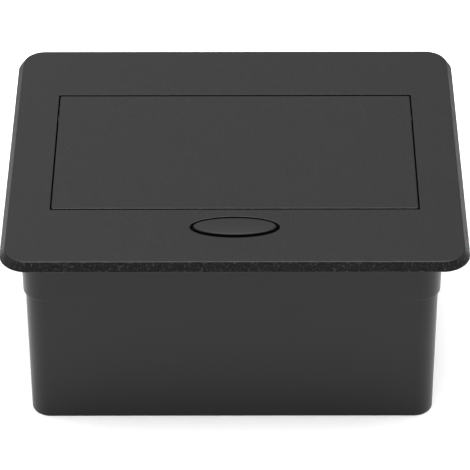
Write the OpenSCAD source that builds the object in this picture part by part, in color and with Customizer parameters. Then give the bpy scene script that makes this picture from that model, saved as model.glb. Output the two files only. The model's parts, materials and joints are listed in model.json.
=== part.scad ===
// Pop-up desk socket box: a flush panel with a tilting socket module under its lid.
// Millimetres, +Z up, front (button side) towards -Y, origin at the middle of the base.

/* [Panel] */
// Width of the panel, left to right
panel_w = 181; // [160:1:230]
// Depth of the panel, front to back
panel_d = 146; // [130:1:190]
// Thickness of the panel
panel_t = 3.5; // [3.2:0.1:4.5]
// Corner radius of the panel in plan
panel_r = 10.9; // [5:0.1:20]
// How far the bevel runs in from the panel's edge
bevel_w = 2.2; // [0.4:0.1:3]
// Height of the upright foot below the bevel
edge_foot = 0.3; // [0.2:0.1:2]
// Depth of the recess under the panel that locates the frame
seat_recess = 0.6; // [0.3:0.1:1]

/* [Lid] */
// Distance from the panel's side edge to the lid
side_margin = 18.7; // [16.9:0.1:24]
// Depth of the lid, front to back
lid_d = 76.1; // [68:0.1:84]
// Thickness of the lid
lid_t = 2.6; // [2:0.1:3]
// Room that the button and its catch need ahead of the lid
button_zone = 21.52; // [20.8:0.01:24]
// Share of the panel's spare depth that lies ahead of the lid
front_share = 0.2; // [0.15:0.05:0.5]
// Corner radius of the lid
lid_r = 0.8; // [0.4:0.1:3]
// Bevel on the lid's top edge
lid_bevel = 0.35; // [0.1:0.05:0.6]
// Gap between lid and panel at each side
gap_side = 0.45; // [0.3:0.05:1]
// Gap between lid and panel at the front
gap_front = 0.4; // [0.3:0.05:1]
// Gap between lid and panel at the back
gap_rear = 0.5; // [0.4:0.05:1]
// How far the back edge of the opening leans away from the lid, top to bottom
rear_undercut = 2.1; // [1.8:0.1:3]

/* [Button] */
// Width of the oval button
button_w = 32.2; // [28:0.2:34]
// Depth of the oval button
button_d = 10.4; // [9:0.1:11]
// Gap around the button
button_gap = 1.5; // [0.5:0.1:1.8]
// Distance from the lid's front edge to the button's middle
button_ahead = 11.7; // [11:0.1:12.6]
// How far the button stands above the panel
button_proud = 0.8; // [0:0.1:1]
// Travel of the button
button_travel = 3; // [2:0.1:3.2]

/* [Body] */
// How far the panel would overhang the collar on every side, if both had one middle
flange_over = 9; // [6.5:0.05:9.5]
// How far the collar and the box sit to the left of the panel's middle
body_left = 1.2; // [0:0.1:1.4]
// Height of the collar below the panel
skirt_h = 21.5; // [18:0.5:26]
// Wall of the collar
skirt_wall = 1.85; // [1.5:0.05:2]
// Step from the collar in to the lower box
body_step = 0.9; // [0.3:0.05:1]
// Corner radius of the collar in plan
body_r = 8.6; // [7:0.1:11]
// Height from the base to the panel's underside
body_h = 82; // [76:0.5:110]
// Wall of the lower box
box_wall = 2.4; // [2.2:0.1:3]
// Thickness of the base
base_t = 2.6; // [2:0.1:4]
// Height of the box rim that nests inside the collar
rim_h = 8; // [5:0.5:9]
// Thickness of the frame's flange under the panel
flange_t = 2; // [1.6:0.1:2.4]

/* [Tilt] */
// Distance from the lid's back edge forward to the hinge axis
hinge_back = 10; // [9:0.1:11]
// Depth of the hinge axis below the lid's top
hinge_drop = 7; // [6.8:0.1:7.6]
// How far the module tilts open
open_angle = 50; // [46:1:54]
// Lean of the socket face from upright when closed
face_tilt = 24; // [23.5:0.1:25]
// Thickness of the socket plate
plate_t = 2.5; // [2:0.1:3]
// Distance from the lid's side edge in to the cheek
cheek_inset = 5.6; // [5.2:0.1:6.4]
// Thickness of each cheek
cheek_t = 2.2; // [1.8:0.1:2.8]
// Radius of the hinge pin
hinge_pin_r = 2; // [1.5:0.1:2.1]
// Thickness of each hinge ear
ear_t = 2.2; // [1.8:0.1:2.6]

/* [Sockets] */
// Gap between a socket well and the cheek beside it
well_side = 1.3; // [0.8:0.1:4]
// Radius of the socket well
well_r = 19.5; // [18.5:0.1:19.8]
// Depth of the socket well
well_depth = 17.5; // [15:0.1:18]
// Wall of the socket well
well_wall = 1.2; // [1:0.1:1.4]
// Floor of the socket well
well_floor = 1.6; // [1.2:0.1:2]
// Width of the rim that shows around a well
well_rim = 1.6; // [1.2:0.1:1.8]
// Distance between a plug's two pins
pin_pitch = 19; // [18:0.1:20]
// Radius of the pin holes
pin_hole_r = 2.6; // [2.4:0.05:2.8]

/* [Ports] */
// Width of a charging port's shell
usb_w = 13.2; // [12.5:0.1:14]
// Height of a charging port's shell
usb_h = 5.8; // [5.2:0.1:6.4]
// Depth of a charging port's shell
usb_depth = 13.8; // [11:0.1:14.5]
// Gap between the two stacked charging ports
usb_gap = 0.2; // [0.1:0.1:0.6]
// Width of the data jack
jack_w = 16; // [15:0.1:17]
// Height of the data jack
jack_h = 13.6; // [13:0.1:14.5]
// Depth of the data jack
jack_depth = 19.9; // [16:0.1:20]

/* [Damper] */
// Size of a gear tooth: pitch diameter over number of teeth
gear_module = 1; // [0.9:0.05:1.05]
// Teeth on the damper's pinion
pinion_teeth = 9; // [9:1:11]
// Teeth on a full ring of the sector's radius
sector_teeth = 48; // [46:1:50]
// Direction of the pinion, degrees below straight ahead of the hinge
damper_dir = 60; // [56:1:64]

/* [Inlets] */
// Bore of the mains inlet
mains_bore = 8.2; // [6:0.1:10]
// Bore of the data inlet
data_bore = 16; // [12:0.1:18]
// Height of the inlets above the base
inlet_z = 24; // [18:0.5:40]
// Distance of each inlet from the box's side
inlet_inset = 35.5; // [25:0.5:60]

/* [Desk screws] */
// Radius of the holes for the screws into the desk's edge
desk_hole_r = 2.1; // [1.5:0.05:2.6]
// Distance from each hole back to the corner post
desk_hole_inset = 12; // [10:0.5:20]
// Depth of the holes below the panel's underside
desk_hole_drop = 9; // [6:0.1:10]

/* [Hidden] */
$fn = 64;

// Clearances
fit = 0.05;
slip = 0.2;
free = 0.3;
cut = 1;

// Colours
black_matt = [0.10, 0.10, 0.11];
black_plastic = [0.07, 0.07, 0.08];
grey_plastic = [0.22, 0.22, 0.24];
white_plastic = [0.88, 0.88, 0.86];
rubber = [0.05, 0.05, 0.05];
steel = [0.72, 0.73, 0.75];
brass = [0.80, 0.65, 0.32];
board_green = [0.10, 0.36, 0.20];

// Levels
seat_z = body_h;
top_z = seat_z + panel_t;
bevel_h = panel_t - edge_foot;
recess_z = seat_z + seat_recess;
flange_z = recess_z - flange_t;
skirt_z = seat_z - skirt_h;
rim_z = skirt_z + rim_h;
lid_under_z = top_z - lid_t;

// Plan of the body
skirt_w = panel_w - 2 * flange_over;
skirt_d = panel_d - 2 * flange_over;
skirt_in_w = skirt_w - 2 * skirt_wall;
skirt_in_d = skirt_d - 2 * skirt_wall;
box_w = skirt_w - 2 * body_step;
box_d = skirt_d - 2 * body_step;
box_r = body_r - body_step;
box_in_w = box_w - 2 * box_wall;
box_in_d = box_d - 2 * box_wall;
rim_gap = 0.1;
rim_w = skirt_in_w - 2 * rim_gap;
rim_d = skirt_in_d - 2 * rim_gap;

// Plan of the lid and its opening
lid_w = panel_w - 2 * side_margin;
front_margin = button_zone + front_share * (panel_d - lid_d);
lid_front_y = front_margin - panel_d / 2;
lid_rear_y = lid_front_y + lid_d;
lid_mid_y = lid_front_y + lid_d / 2;
open_half = lid_w / 2 + gap_side;
open_front_y = lid_front_y - gap_front;
open_rear_y = lid_rear_y + gap_rear;
undercut_slope = rear_undercut / panel_t;

// Opening of the frame under the panel, with room for the stop feet
stop_room = 3.2;
stop_reach = 2.4;
frame_side = 1;
frame_half = open_half + frame_side;
frame_front_y = open_front_y - stop_room;
frame_rear_y = open_rear_y + rear_undercut + 0.8;

// Hinge
hinge_y = lid_rear_y - hinge_back;
hinge_z = top_z - hinge_drop;
lobe_r = hinge_drop - lid_t - 0.1;
ear_half_d = 6.5;
ear_drop = 6;
ear_in_x = frame_half;
ear_out_x = ear_in_x + ear_t;
cheek_out_x = lid_w / 2 - cheek_inset;
cheek_in_x = cheek_out_x - cheek_t;
bush_wall = 1.2;
bush_r = hinge_pin_r + bush_wall;
bush_flange_r = lobe_r - 0.1;
bush_flange_t = 0.8;
pin_head_r = hinge_pin_r + 1.2;
pin_head_t = 1.2;
ring_t = 0.7;
ring_gap = 0.4;
ring_groove = 0.4;
ring_r = hinge_pin_r + 1.6;
pin_tail = 1;
hinge_pin_len = ear_out_x + pin_head_t / 2 - cheek_in_x + ring_gap + ring_t + pin_tail;

// Lift springs
lift_wire_r = 0.5;
lift_coil_r = hinge_pin_r + 1.2;
lift_turns = 3;
lift_leg = 12;
lift_in_x = cheek_out_x + bush_flange_t + lift_wire_r + 0.4;
lift_out_x = ear_in_x - lift_wire_r - free;
lift_seat_gap = 0.1;
lift_seat_d = 2.4;
lift_seat_in_x = lid_w / 2 + slip;
wire_sides = 6;
rings_per_turn = 8;

// Socket face: depth runs into the module, drop runs down the face from the lid
well_out_r = well_r + well_wall;
well_back = well_depth + well_floor;
well_rim_t = 1.2;
bar_h = 2.6;
bar_d = 4;
cheek_foot = 12;
socket_drop = well_back * tan(face_tilt) + well_out_r + slip;
face_h = socket_drop + well_out_r + free + bar_h;
plate_half = lid_w / 2 - slip;
face_hole_r = well_out_r + 0.1;
function face_point(depth, drop) = [
    lid_front_y + drop * sin(face_tilt) + depth * cos(face_tilt),
    lid_under_z - drop * cos(face_tilt) + depth * sin(face_tilt)
];
function lid_drop(depth) = depth * tan(face_tilt);

// Rear cover of the module, as depth and drop on the face
cover_t = 1.6;
conductor_room = 19.6;
cover_reach = well_back + conductor_room;
cover_start = plate_t + 0.5;
cover_bend = well_back + 5.9;
cover_slant = 11;
cover_half = cheek_in_x - slip;
cover_screw_xs = [for (s = [-1, 1], k = [1, 3]) s * k * cover_half / 3.2];
cable_hole_r = 5;

// Stop feet of the module, which meet the panel's underside when open
stop_over = 4.8;
stop_t = 3;
stop_land = 1;
stop_clear = 0.3;
stop_root = 3;
function turned(p) = [
    hinge_y + p[0] * cos(open_angle) - p[1] * sin(open_angle),
    hinge_z + p[0] * sin(open_angle) + p[1] * cos(open_angle)
];

// Screws
screw_r = 1.5;
screw_hole_r = screw_r + fit;
screw_head_r = 2.8;
screw_head_t = 1.8;
screw_slot = 0.7;
small_screw_r = 1.2;
small_head_r = 2.2;
small_head_t = 1.2;

// Corner posts
post_r = 4.5;
post_inset = post_r + 0.1;
post_x = box_in_w / 2 - post_inset;
post_y = box_in_d / 2 - post_inset;
post_top_z = skirt_z + 3;
post_access_r = 3.2;
post_floor = 12;
boss_r = 3.6;
box_screw_len = 22;
post_spots = [for (sx = [-1, 1], sy = [-1, 1]) [sx * post_x - body_left, sy * post_y]];

// Panel screws
panel_boss_r = 2.8;
panel_boss_lift = 0.1;
panel_screw_depth = 1.5;
panel_head_r = panel_boss_r + 0.7;
panel_screw_inset = 20;
panel_screw_x = lid_w / 2 - panel_screw_inset;
panel_front_y = (open_front_y - skirt_in_d / 2) / 2;
panel_rear_y = (frame_rear_y + skirt_in_d / 2) / 2;
panel_spots = [for (sx = [-1, 1], y = [panel_front_y, panel_rear_y]) [sx * panel_screw_x, y]];

// Tie bar behind the sockets
tie_ahead = 5;
tie_d = 3;
tie_h = 8;
tie_front_y = hinge_y - tie_ahead - tie_d;

// Lid screws
lid_flange_t = 2;
lid_flange_w = 8;
lid_boss_r = 2.6;
lid_boss_lift = 0.1;
lid_screw_depth = 1.4;
lid_screw_x = cheek_in_x - lid_flange_w / 2;
lid_flange_front_y = lid_front_y + plate_t / cos(face_tilt) + 3;
lid_flange_stop = 6;
lid_flange_rear_y = hinge_y - lid_flange_stop;
lid_screw_inset = 8;
lid_head_r = small_head_r + 1;
lid_screw_front_y = lid_flange_front_y + lid_screw_inset;
lid_screw_rear_y = tie_front_y - lid_head_r - 1;
lid_spots = [for (sx = [-1, 1], y = [lid_screw_front_y, lid_screw_rear_y]) [sx * lid_screw_x, y]];

// Face screws and their lugs
lug_w = 6.5;
lug_h = 7;
lug_depth = 5.5;
face_screw_x = cheek_in_x - lug_w / 2;
face_screw_drops = [8, face_h - 5];
face_screw_len = 6;

// Button, slider and latch
button_y = lid_front_y - button_ahead;
slider_top_z = recess_z - 0.1;
slider_t = 1.6;
slider_z = slider_top_z - slider_t;
lug_over = 2.2;
lug_start_x = 9;
slider_rx = button_w / 2 + button_gap + lug_over;
slider_ry = button_d / 2 + button_gap + lug_over;
slider_reach = slider_ry * sqrt(1 - pow(lug_start_x / slider_rx, 2));
post_pitch = 26;
guide_r = 1.5;
guide_below = 2;
plunger_ahead = 2.8;
plunger_w = 5;
plunger_d = 3;
plunger_y = button_y - plunger_ahead;
hook_drop = 7.2;
hook_t = 2.4;
hook_gap = 0.4;
hook_tip_t = 1.6;
latch_w = 8;
latch_height = 9.8;
pivot_ahead = 4;
pivot_y = lid_front_y - pivot_ahead;
pivot_z = face_point(0, hook_drop)[1] - latch_height;
latch_arm_t = 3.2;
latch_boss_r = 3;
latch_pin_r = 1.5;
tail_t = 3.4;
tail_over = 2.5;
tail_end_y = plunger_y - tail_over;
tail_top_z = pivot_z + tail_t / 2;
tail_low_z = pivot_z - tail_t / 2;
plunger_gap = 0.15;
plunger_z = tail_top_z + plunger_gap;
keeper_t = 1;
keeper_half = 8;
keeper_window = 5;
keeper_top = 3;
keeper_low = 13;
slot_top = hook_drop - 2.8;
slot_low = hook_drop + 2.8;

// Bridge under the button, part of the frame
bridge_half = slider_rx + 2.2;
bridge_wall = 2.5;
bridge_front_y = button_y - slider_reach - 1;
bridge_rear_y = button_y + 5.4;
bridge_t = 2;
bridge_z = pivot_z - bridge_t;
bridge_floor_rear_y = button_y + 3.4;
bridge_slot = latch_w / 2 + 2.2;
bridge_lip = 1.5;
latch_ear_gap = 0.5;
latch_ear_t = 3;
latch_ear_r = 3.2;
strap_drop = button_travel + 5;
strap_t = 1.5;
strap_half = bridge_slot + 1.8;
strap_d = 5;
strap_z = tail_low_z - strap_drop - strap_t;

// Compression springs
button_wire_r = 0.3;
button_coil_r = guide_r + 1.1;
button_turns = 6;
latch_wire_r = 0.25;
latch_coil_r = 1.7;
latch_turns = 4;

// Damper gears
gear_pressure = 25;
gear_backlash = 0.15;
gear_top = 0.7;
gear_root = 1;
sector_r = gear_module * sector_teeth / 2;
pinion_r = gear_module * pinion_teeth / 2;
gear_distance = sector_r + pinion_r;
sector_t = 2.6;
sector_in_r = 6.5;
sector_from = 205;
sector_to = 300;
sector_step = 360 / sector_teeth;
sector_back = 2;
sector_on = 7;
sector_out_x = cheek_out_x + sector_t;
sector_screw_r = [11.5, 18.5];
sector_screw_dir = 214;
function sector_spot(r) = [hinge_y + r * cos(sector_screw_dir), hinge_z + r * sin(sector_screw_dir)];
pinion_gap = 0.4;
pinion_in_x = cheek_out_x + pinion_gap;
pinion_out_x = sector_out_x + pinion_gap;
pinion_shaft_r = 1.5;
damper_in_x = pinion_out_x + free;
damper_r = pinion_r + 4;
damper_lug_t = 1.6;
damper_lug_h = 7;
damper_screw_y = damper_r + small_head_r + slip;
damper_lug_half = damper_screw_y + small_head_r + 0.6;
damper_floor = 1;
damper_y = hinge_y - gear_distance * cos(damper_dir);
damper_z = hinge_z - gear_distance * sin(damper_dir);
damper_polar = 180 + damper_dir;

// Conductors behind the sockets
socket_pitch = 2 * (cheek_in_x - well_out_r - well_side);
socket_spots = [-socket_pitch / 2, socket_pitch / 2];
sleeve_wall = 0.8;
sleeve_in_r = 2.5;
sleeve_len = 11;
sleeve_end = well_back + sleeve_len;
strip_t = 0.8;
strip_ring_r = sleeve_in_r + sleeve_wall + 0.5;
strip_near = 5.5;
strip_far = 10.5;
strip_tab = 5;
clip_w = 4;
clip_slot_w = clip_w + 0.6;
clip_t = 0.8;
clip_r = well_r - 2.3;
clip_bow = 1.8;
clip_end = well_back + 1.5;
clip_rise = 4.5;
clip_step = 4;
clip_root = well_depth - clip_rise;
clip_belly = clip_root - clip_step;
clip_tip = clip_belly - clip_step;
clip_flare = 0.2;
key_w = 4.6;
key_t = 2;
key_start = 2;
earth_link_w = 5;
clamp_w = 7;
clamp_h = 8;
clamp_d = 6.5;
clamp_wire_r = 1.6;
clamp_screw_r = 1.4;
clamp_head_r = 2.2;
clamp_head_t = 0.8;
clamp_x = 8;
strip_mid = (strip_near + strip_far) / 2;
clamp_spots = [
    [-clamp_x, sleeve_end + strip_t, socket_drop - strip_mid],
    [clamp_x, sleeve_end + strip_t, socket_drop + strip_mid],
    [0, clip_end + strip_t, socket_drop + clip_r + clip_t - earth_link_w / 2]
];

// Charging ports and data jack
usb_drop = keeper_low + 0.4 + 1.5 * usb_h + usb_gap;
usb_drops = [usb_drop - usb_h - usb_gap, usb_drop];
usb_wall = 0.4;
usb_recess = 0.2;
tongue_t = 1.9;
tongue_short = 4;
tongue_side = 1;
tongue_drop = 0.5;
board_t = 1.4;
board_side = 2.3;
board_half = socket_pitch / 2 - well_out_r - board_side;
board_depth = 27;
board_top = usb_drop + usb_h / 2;
coil_size = 7;
can_r = 3;
can_len = 10;
can_x = coil_size / 2 + can_r + 0.5;
choke_r = 3;
choke_h = 6;
parts_start = usb_depth + 1.8;
jack_drop = board_top + board_t + 4.6 + jack_h / 2;
jack_port_w = 11.8;
jack_port_h = 8.2;
jack_port_depth = 14;
jack_key_w = 6;
jack_key_h = 2.2;
jack_contact = 0.45;
jack_contact_pitch = 1.02;
jack_contact_len = 9;
jack_contacts_count = 8;

// Inlets
inlet_x = box_w / 2 - inlet_inset;
grommet_wall = 2.5;
grommet_lip = 2;
grommet_lip_t = 1.6;
grommet_inner = 2.4;

// Shapes that repeat

module rounded(w, d, r) {
    square([w - 2 * r, d], center = true);
    square([w, d - 2 * r], center = true);
    for (sx = [-1, 1], sy = [-1, 1])
        translate([sx * (w / 2 - r), sy * (d / 2 - r)]) circle(r = r);
}

// Slab with round corners on the body's own middle line
module slab(w, d, r, low, high) {
    translate([-body_left, 0, low]) linear_extrude(high - low) rounded(w, d, r);
}

// Plate with round corners and a bevelled top edge
module bevel_plate(w, d, r, t, in, down) {
    edge = t - down;
    for (k = [0:3])
        rotate(90 * k) {
            a = k % 2 == 0 ? w : d;
            b = k % 2 == 0 ? d : w;
            translate([a / 2 - r, b / 2 - r, 0])
                rotate_extrude(angle = 90)
                    polygon([[0, 0], [r, 0], [r, edge], [r - in, t], [0, t]]);
        }
    for (k = [0, 1])
        rotate(90 * k) {
            half_run = (k == 0 ? w : d) / 2 - r;
            half = (k == 0 ? d : w) / 2;
            along_x(-half_run, half_run)
                polygon([[-half, 0], [half, 0], [half, edge], [half - in, t], [in - half, t], [-half, edge]]);
        }
}

// Runs a profile drawn in Y and Z along X
module along_x(x0, x1) {
    translate([x0, 0, 0]) rotate([90, 0, 90]) linear_extrude(x1 - x0) children();
}

module oval(rx, ry, low, high) {
    translate([0, button_y, low]) scale([rx, ry, 1]) cylinder(r = 1, h = high - low);
}

module both_sides() {
    children();
    mirror([1, 0, 0]) children();
}

// Frame of the socket face: X across, Y into the module, Z up the face from the lid
module on_face(x = 0, depth = 0, drop = 0) {
    translate([0, lid_front_y, lid_under_z]) rotate([face_tilt, 0, 0])
        translate([x, depth, -drop]) children();
}

// Turns a Z axis shape to run into the module
module inward() {
    rotate([-90, 0, 0]) children();
}

// Screw with its head's seat at the origin and its shank along +Z
module screw(r, len, head_r, head_t) {
    difference() {
        union() {
            cylinder(r = r, h = len);
            translate([0, 0, -head_t]) cylinder(r = head_r, h = head_t);
        }
        for (a = [0, 90])
            rotate(a)
                translate([-head_r * 0.6, -screw_slot / 2, -head_t - cut])
                    cube([head_r * 1.2, screw_slot, head_t / 2 + cut]);
    }
}

// Round wire along a path: each entry is a point and a direction square to the wire there
module wire(path, r) {
    last = len(path) - 1;
    function unit(v) = v / norm(v);
    function run(i) = unit(path[min(i + 1, last)][0] - path[max(i - 1, 0)][0]);
    points = [
        for (i = [0:last], s = [0:wire_sides - 1])
            let (u = path[i][1], v = cross(run(i), u), a = 360 * s / wire_sides)
                path[i][0] + r * (cos(a) * u + sin(a) * v)
    ];
    sides = [
        for (i = [0:last - 1], s = [0:wire_sides - 1])
            let (a = i * wire_sides + s, b = i * wire_sides + (s + 1) % wire_sides)
                each [[a, a + wire_sides, b], [b, a + wire_sides, b + wire_sides]]
    ];
    start = [for (s = [1:wire_sides - 2]) [0, s, s + 1]];
    end = [for (s = [1:wire_sides - 2]) [for (k = [0, s + 1, s]) last * wire_sides + k]];
    polyhedron(points, concat(start, sides, end));
}

// Least distance between points of a path that are at least most of a turn apart, less the wire
function least_gap(path, r) = min([
    for (i = [0:len(path) - 1], j = [i + rings_per_turn - 2:1:len(path) - 1])
        norm(path[i][0] - path[j][0])
]) - 2 * r;

// Coil spring standing along Z, with straight ends one wire thick
function coil_path(r, wire_r, height, turns) = let (
    end = 2 * wire_r,
    steps = turns * rings_per_turn
) concat(
    [[[r, 0, 0], [1, 0, 0]]],
    [
        for (i = [0:steps])
            let (a = 360 * i / rings_per_turn)
                [[r * cos(a), r * sin(a), end + (height - 2 * end) * i / steps], [cos(a), sin(a), 0]]
    ],
    [[[r * cos(360 * turns), r * sin(360 * turns), height], [cos(360 * turns), sin(360 * turns), 0]]]
);

// Torsion spring about X: a back leg under the ear's ledge, turns on the pin, a front leg under the lid
lift_ledge = [ear_half_d - lift_seat_d, flange_z - hinge_z];
lift_ledge_reach = lift_coil_r + lift_wire_r + lift_seat_gap;
lift_front_h = lid_under_z - hinge_z - lift_wire_r - lift_seat_gap;
lift_back_leg = ear_half_d - lift_wire_r;
lift_hyp_front = norm([lift_coil_r, lift_leg]);
lift_start = atan2(lift_ledge[1], lift_ledge[0]) + acos(lift_ledge_reach / norm(lift_ledge));
lift_stop = 360 * lift_turns + 180 - asin(lift_front_h / lift_hyp_front) - atan2(lift_leg, lift_coil_r);
lift_steps = round((lift_stop - lift_start) * rings_per_turn / 360);
function lift_turn(i) = lift_start + (lift_stop - lift_start) * i / lift_steps;
function lift_out(a) = [0, cos(a), sin(a)];
function lift_along(a) = [0, -sin(a), cos(a)];
function lift_x(i) = lift_out_x + (lift_in_x - lift_out_x) * i / lift_steps;
lift_path = concat(
    [[
        [lift_out_x, 0, 0] + lift_coil_r * lift_out(lift_start) - lift_back_leg * lift_along(lift_start),
        lift_out(lift_start)
    ]],
    [
        for (i = [0:lift_steps])
            let (out = lift_out(lift_turn(i)))
                [[lift_x(i), 0, 0] + lift_coil_r * out, out]
    ],
    [[
        [lift_in_x, 0, 0] + lift_coil_r * lift_out(lift_stop) + lift_leg * lift_along(lift_stop),
        lift_out(lift_stop)
    ]]
);
button_path = coil_path(button_coil_r, button_wire_r, slider_z - pivot_z, button_turns);
latch_path = coil_path(latch_coil_r, latch_wire_r, strap_drop, latch_turns);
echo(lift_spring_gap = least_gap(lift_path, lift_wire_r));
echo(button_spring_gap = least_gap(button_path, button_wire_r));
echo(latch_spring_gap = least_gap(latch_path, latch_wire_r));

// Gear tooth outline from involute flanks, pointing along +X from the gear's middle
function involute(a) = tan(a) - a * PI / 180;
function flank(r, base, half) = half - 180 / PI * involute(r > base ? acos(base / r) : 0);
module tooth(r) {
    base = r * cos(gear_pressure);
    half = (PI * gear_module / 2 - gear_backlash) / (2 * r) * 180 / PI + 180 / PI * involute(gear_pressure);
    low = r - gear_root * gear_module;
    tip = r + gear_top * gear_module;
    radii = [low - 0.3, max(low, base), r - 0.3 * gear_module, r, r + 0.4 * gear_module, tip];
    function side(p, s) = p * [cos(flank(p, base, half)), s * sin(flank(p, base, half))];
    polygon(concat(
        [for (p = radii) side(p, -1)],
        [for (k = [len(radii) - 1:-1:0]) side(radii[k], 1)]
    ));
}

// Pieces of the housing

module top_panel() {
    color(black_matt) difference() {
        union() {
            difference() {
                translate([0, 0, seat_z]) bevel_plate(panel_w, panel_d, panel_r, panel_t, bevel_w, bevel_h);
                slab(skirt_w + slip, skirt_d + slip, body_r + slip / 2, seat_z - cut, recess_z);
            }
            for (p = panel_spots)
                translate([p[0], p[1], flange_z + panel_boss_lift])
                    cylinder(r = panel_boss_r, h = flange_t - panel_boss_lift + seat_recess);
        }
        along_x(-open_half, open_half) polygon([
            [open_front_y, seat_z - cut],
            [open_front_y, top_z + cut],
            [open_rear_y - undercut_slope * cut, top_z + cut],
            [open_rear_y + rear_undercut + undercut_slope * cut, seat_z - cut]
        ]);
        oval(button_w / 2 + button_gap, button_d / 2 + button_gap, seat_z - cut, top_z + cut);
        for (p = panel_spots)
            translate([p[0], p[1], flange_z - cut])
                cylinder(r = screw_hole_r, h = flange_t + panel_screw_depth + cut);
    }
}

module body_frame() {
    color(black_plastic) difference() {
        union() {
            difference() {
                slab(skirt_w, skirt_d, body_r, skirt_z, recess_z);
                slab(skirt_in_w, skirt_in_d, body_r - skirt_wall, skirt_z - cut, flange_z);
                translate([-frame_half, frame_front_y, flange_z - cut])
                    cube([2 * frame_half, frame_rear_y - frame_front_y, flange_t + 2 * cut]);
                translate([-bridge_half, bridge_front_y, flange_z - cut])
                    cube([2 * bridge_half, frame_front_y - bridge_front_y + cut, flange_t + 2 * cut]);
            }
            for (p = post_spots)
                translate([p[0], p[1], post_top_z]) cylinder(r = boss_r, h = recess_z - post_top_z);
            both_sides() hinge_ear();
            damper_bracket();
            button_bridge();
        }
        for (p = post_spots)
            translate([p[0], p[1], post_top_z - cut])
                cylinder(r = screw_hole_r, h = box_screw_len - post_floor + 2 * cut);
        for (p = panel_spots)
            translate([p[0], p[1], flange_z - cut]) cylinder(r = panel_boss_r + slip, h = flange_t + 2 * cut);
        along_x(-ear_out_x - cut, ear_out_x + cut) translate([hinge_y, hinge_z]) circle(r = hinge_pin_r);
        both_sides()
            along_x(ear_out_x, ear_out_x + pin_head_t + slip)
                translate([hinge_y, hinge_z]) circle(r = pin_head_r + slip);
        for (s = [-1, 1])
            along_x(-ear_out_x - cut, -ear_in_x + cut)
                translate([damper_y + s * damper_screw_y, damper_z]) circle(r = small_screw_r + fit);
        translate([-body_left, 0, 0]) both_sides()
            along_x(skirt_in_w / 2 - cut, skirt_w / 2 + cut)
                for (s = [-1, 1])
                    translate([s * (post_y - desk_hole_inset), seat_z - desk_hole_drop])
                        circle(r = desk_hole_r);
    }
}

// Ear for the hinge pin, with a ledge that the lift spring's back leg bears on
module hinge_ear() {
    translate([ear_in_x, hinge_y - ear_half_d, hinge_z - ear_drop])
        cube([ear_t, 2 * ear_half_d, recess_z - hinge_z + ear_drop]);
    translate([lift_seat_in_x, hinge_y + ear_half_d - lift_seat_d, flange_z])
        cube([ear_out_x - lift_seat_in_x, lift_seat_d, flange_t]);
}

module damper_bracket() {
    along_x(-ear_out_x, -ear_in_x) polygon([
        [hinge_y + ear_half_d, flange_z + cut],
        [hinge_y + ear_half_d, hinge_z - ear_drop],
        [damper_y + damper_lug_half, damper_z - damper_r],
        [damper_y - damper_lug_half, damper_z - damper_r],
        [damper_y - damper_lug_half, damper_z + damper_r],
        [hinge_y - ear_half_d, flange_z + cut]
    ]);
}

module button_bridge() {
    both_sides() {
        translate([bridge_half, bridge_front_y, bridge_z])
            cube([bridge_wall, bridge_rear_y - bridge_front_y, flange_z + cut - bridge_z]);
        latch_ear_x = latch_w / 2 + latch_ear_gap;
        along_x(latch_ear_x, latch_ear_x + latch_ear_t) difference() {
            union() {
                translate([pivot_y, pivot_z]) circle(r = latch_ear_r);
                translate([bridge_floor_rear_y - cut, pivot_z - latch_ear_r])
                    square([pivot_y - bridge_floor_rear_y + cut, 2 * latch_ear_r]);
            }
            translate([pivot_y, pivot_z]) circle(r = latch_pin_r);
        }
        translate([latch_ear_x, bridge_floor_rear_y - bridge_t, pivot_z - latch_ear_r])
            cube([latch_ear_t + bridge_t / 2, bridge_t, 2 * latch_ear_r]);
        translate([bridge_slot, plunger_y - strap_d / 2, strap_z])
            cube([strap_half - bridge_slot, strap_d, bridge_z + bridge_t - strap_z]);
    }
    difference() {
        translate([-bridge_half - bridge_wall, bridge_front_y, bridge_z])
            cube([2 * (bridge_half + bridge_wall), bridge_floor_rear_y - bridge_front_y, bridge_t]);
        translate([-bridge_slot, bridge_front_y + bridge_lip, bridge_z - cut])
            cube([2 * bridge_slot, bridge_floor_rear_y - bridge_front_y, bridge_t + 2 * cut]);
        for (s = [-1, 1])
            translate([s * post_pitch / 2, button_y, bridge_z - cut])
                cylinder(r = guide_r + free, h = bridge_t + 2 * cut);
    }
    translate([-strap_half, plunger_y - strap_d / 2, strap_z]) cube([2 * strap_half, strap_d, strap_t]);
}

module lower_box() {
    color(black_plastic) difference() {
        union() {
            slab(box_w, box_d, box_r, 0, skirt_z);
            slab(rim_w, rim_d, body_r - skirt_wall - rim_gap, skirt_z - cut, rim_z);
        }
        difference() {
            slab(box_in_w, box_in_d, box_r - box_wall, base_t, rim_z + cut);
            for (p = post_spots)
                translate([p[0], p[1], 0]) cylinder(r = post_r, h = post_top_z);
        }
        for (p = post_spots)
            translate([p[0], p[1], -cut]) {
                cylinder(r = post_access_r, h = post_top_z - post_floor + cut);
                cylinder(r = screw_hole_r, h = post_top_z + 2 * cut);
            }
        inlet_hole(inlet_x, mains_bore / 2);
        inlet_hole(-inlet_x, data_bore / 2);
    }
}

module inlet_hole(x, bore_r) {
    translate([x - body_left, box_d / 2 - box_wall - cut, inlet_z])
        inward() cylinder(r = bore_r + grommet_wall + fit, h = box_wall + 2 * cut);
}

module grommet(x, bore_r) {
    hole_r = bore_r + grommet_wall;
    translate([x - body_left, box_d / 2, inlet_z])
        inward() rotate_extrude()
            polygon([
                [bore_r, grommet_lip_t],
                [bore_r, -box_wall - grommet_inner],
                [hole_r + 0.6, -box_wall - grommet_inner],
                [hole_r + grommet_lip * 0.7, -box_wall],
                [hole_r, -box_wall],
                [hole_r, 0],
                [hole_r + grommet_lip, 0],
                [hole_r + grommet_lip * 0.8, grommet_lip_t]
            ]);
}

module mains_grommet() {
    color(rubber) grommet(inlet_x, mains_bore / 2);
}

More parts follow.
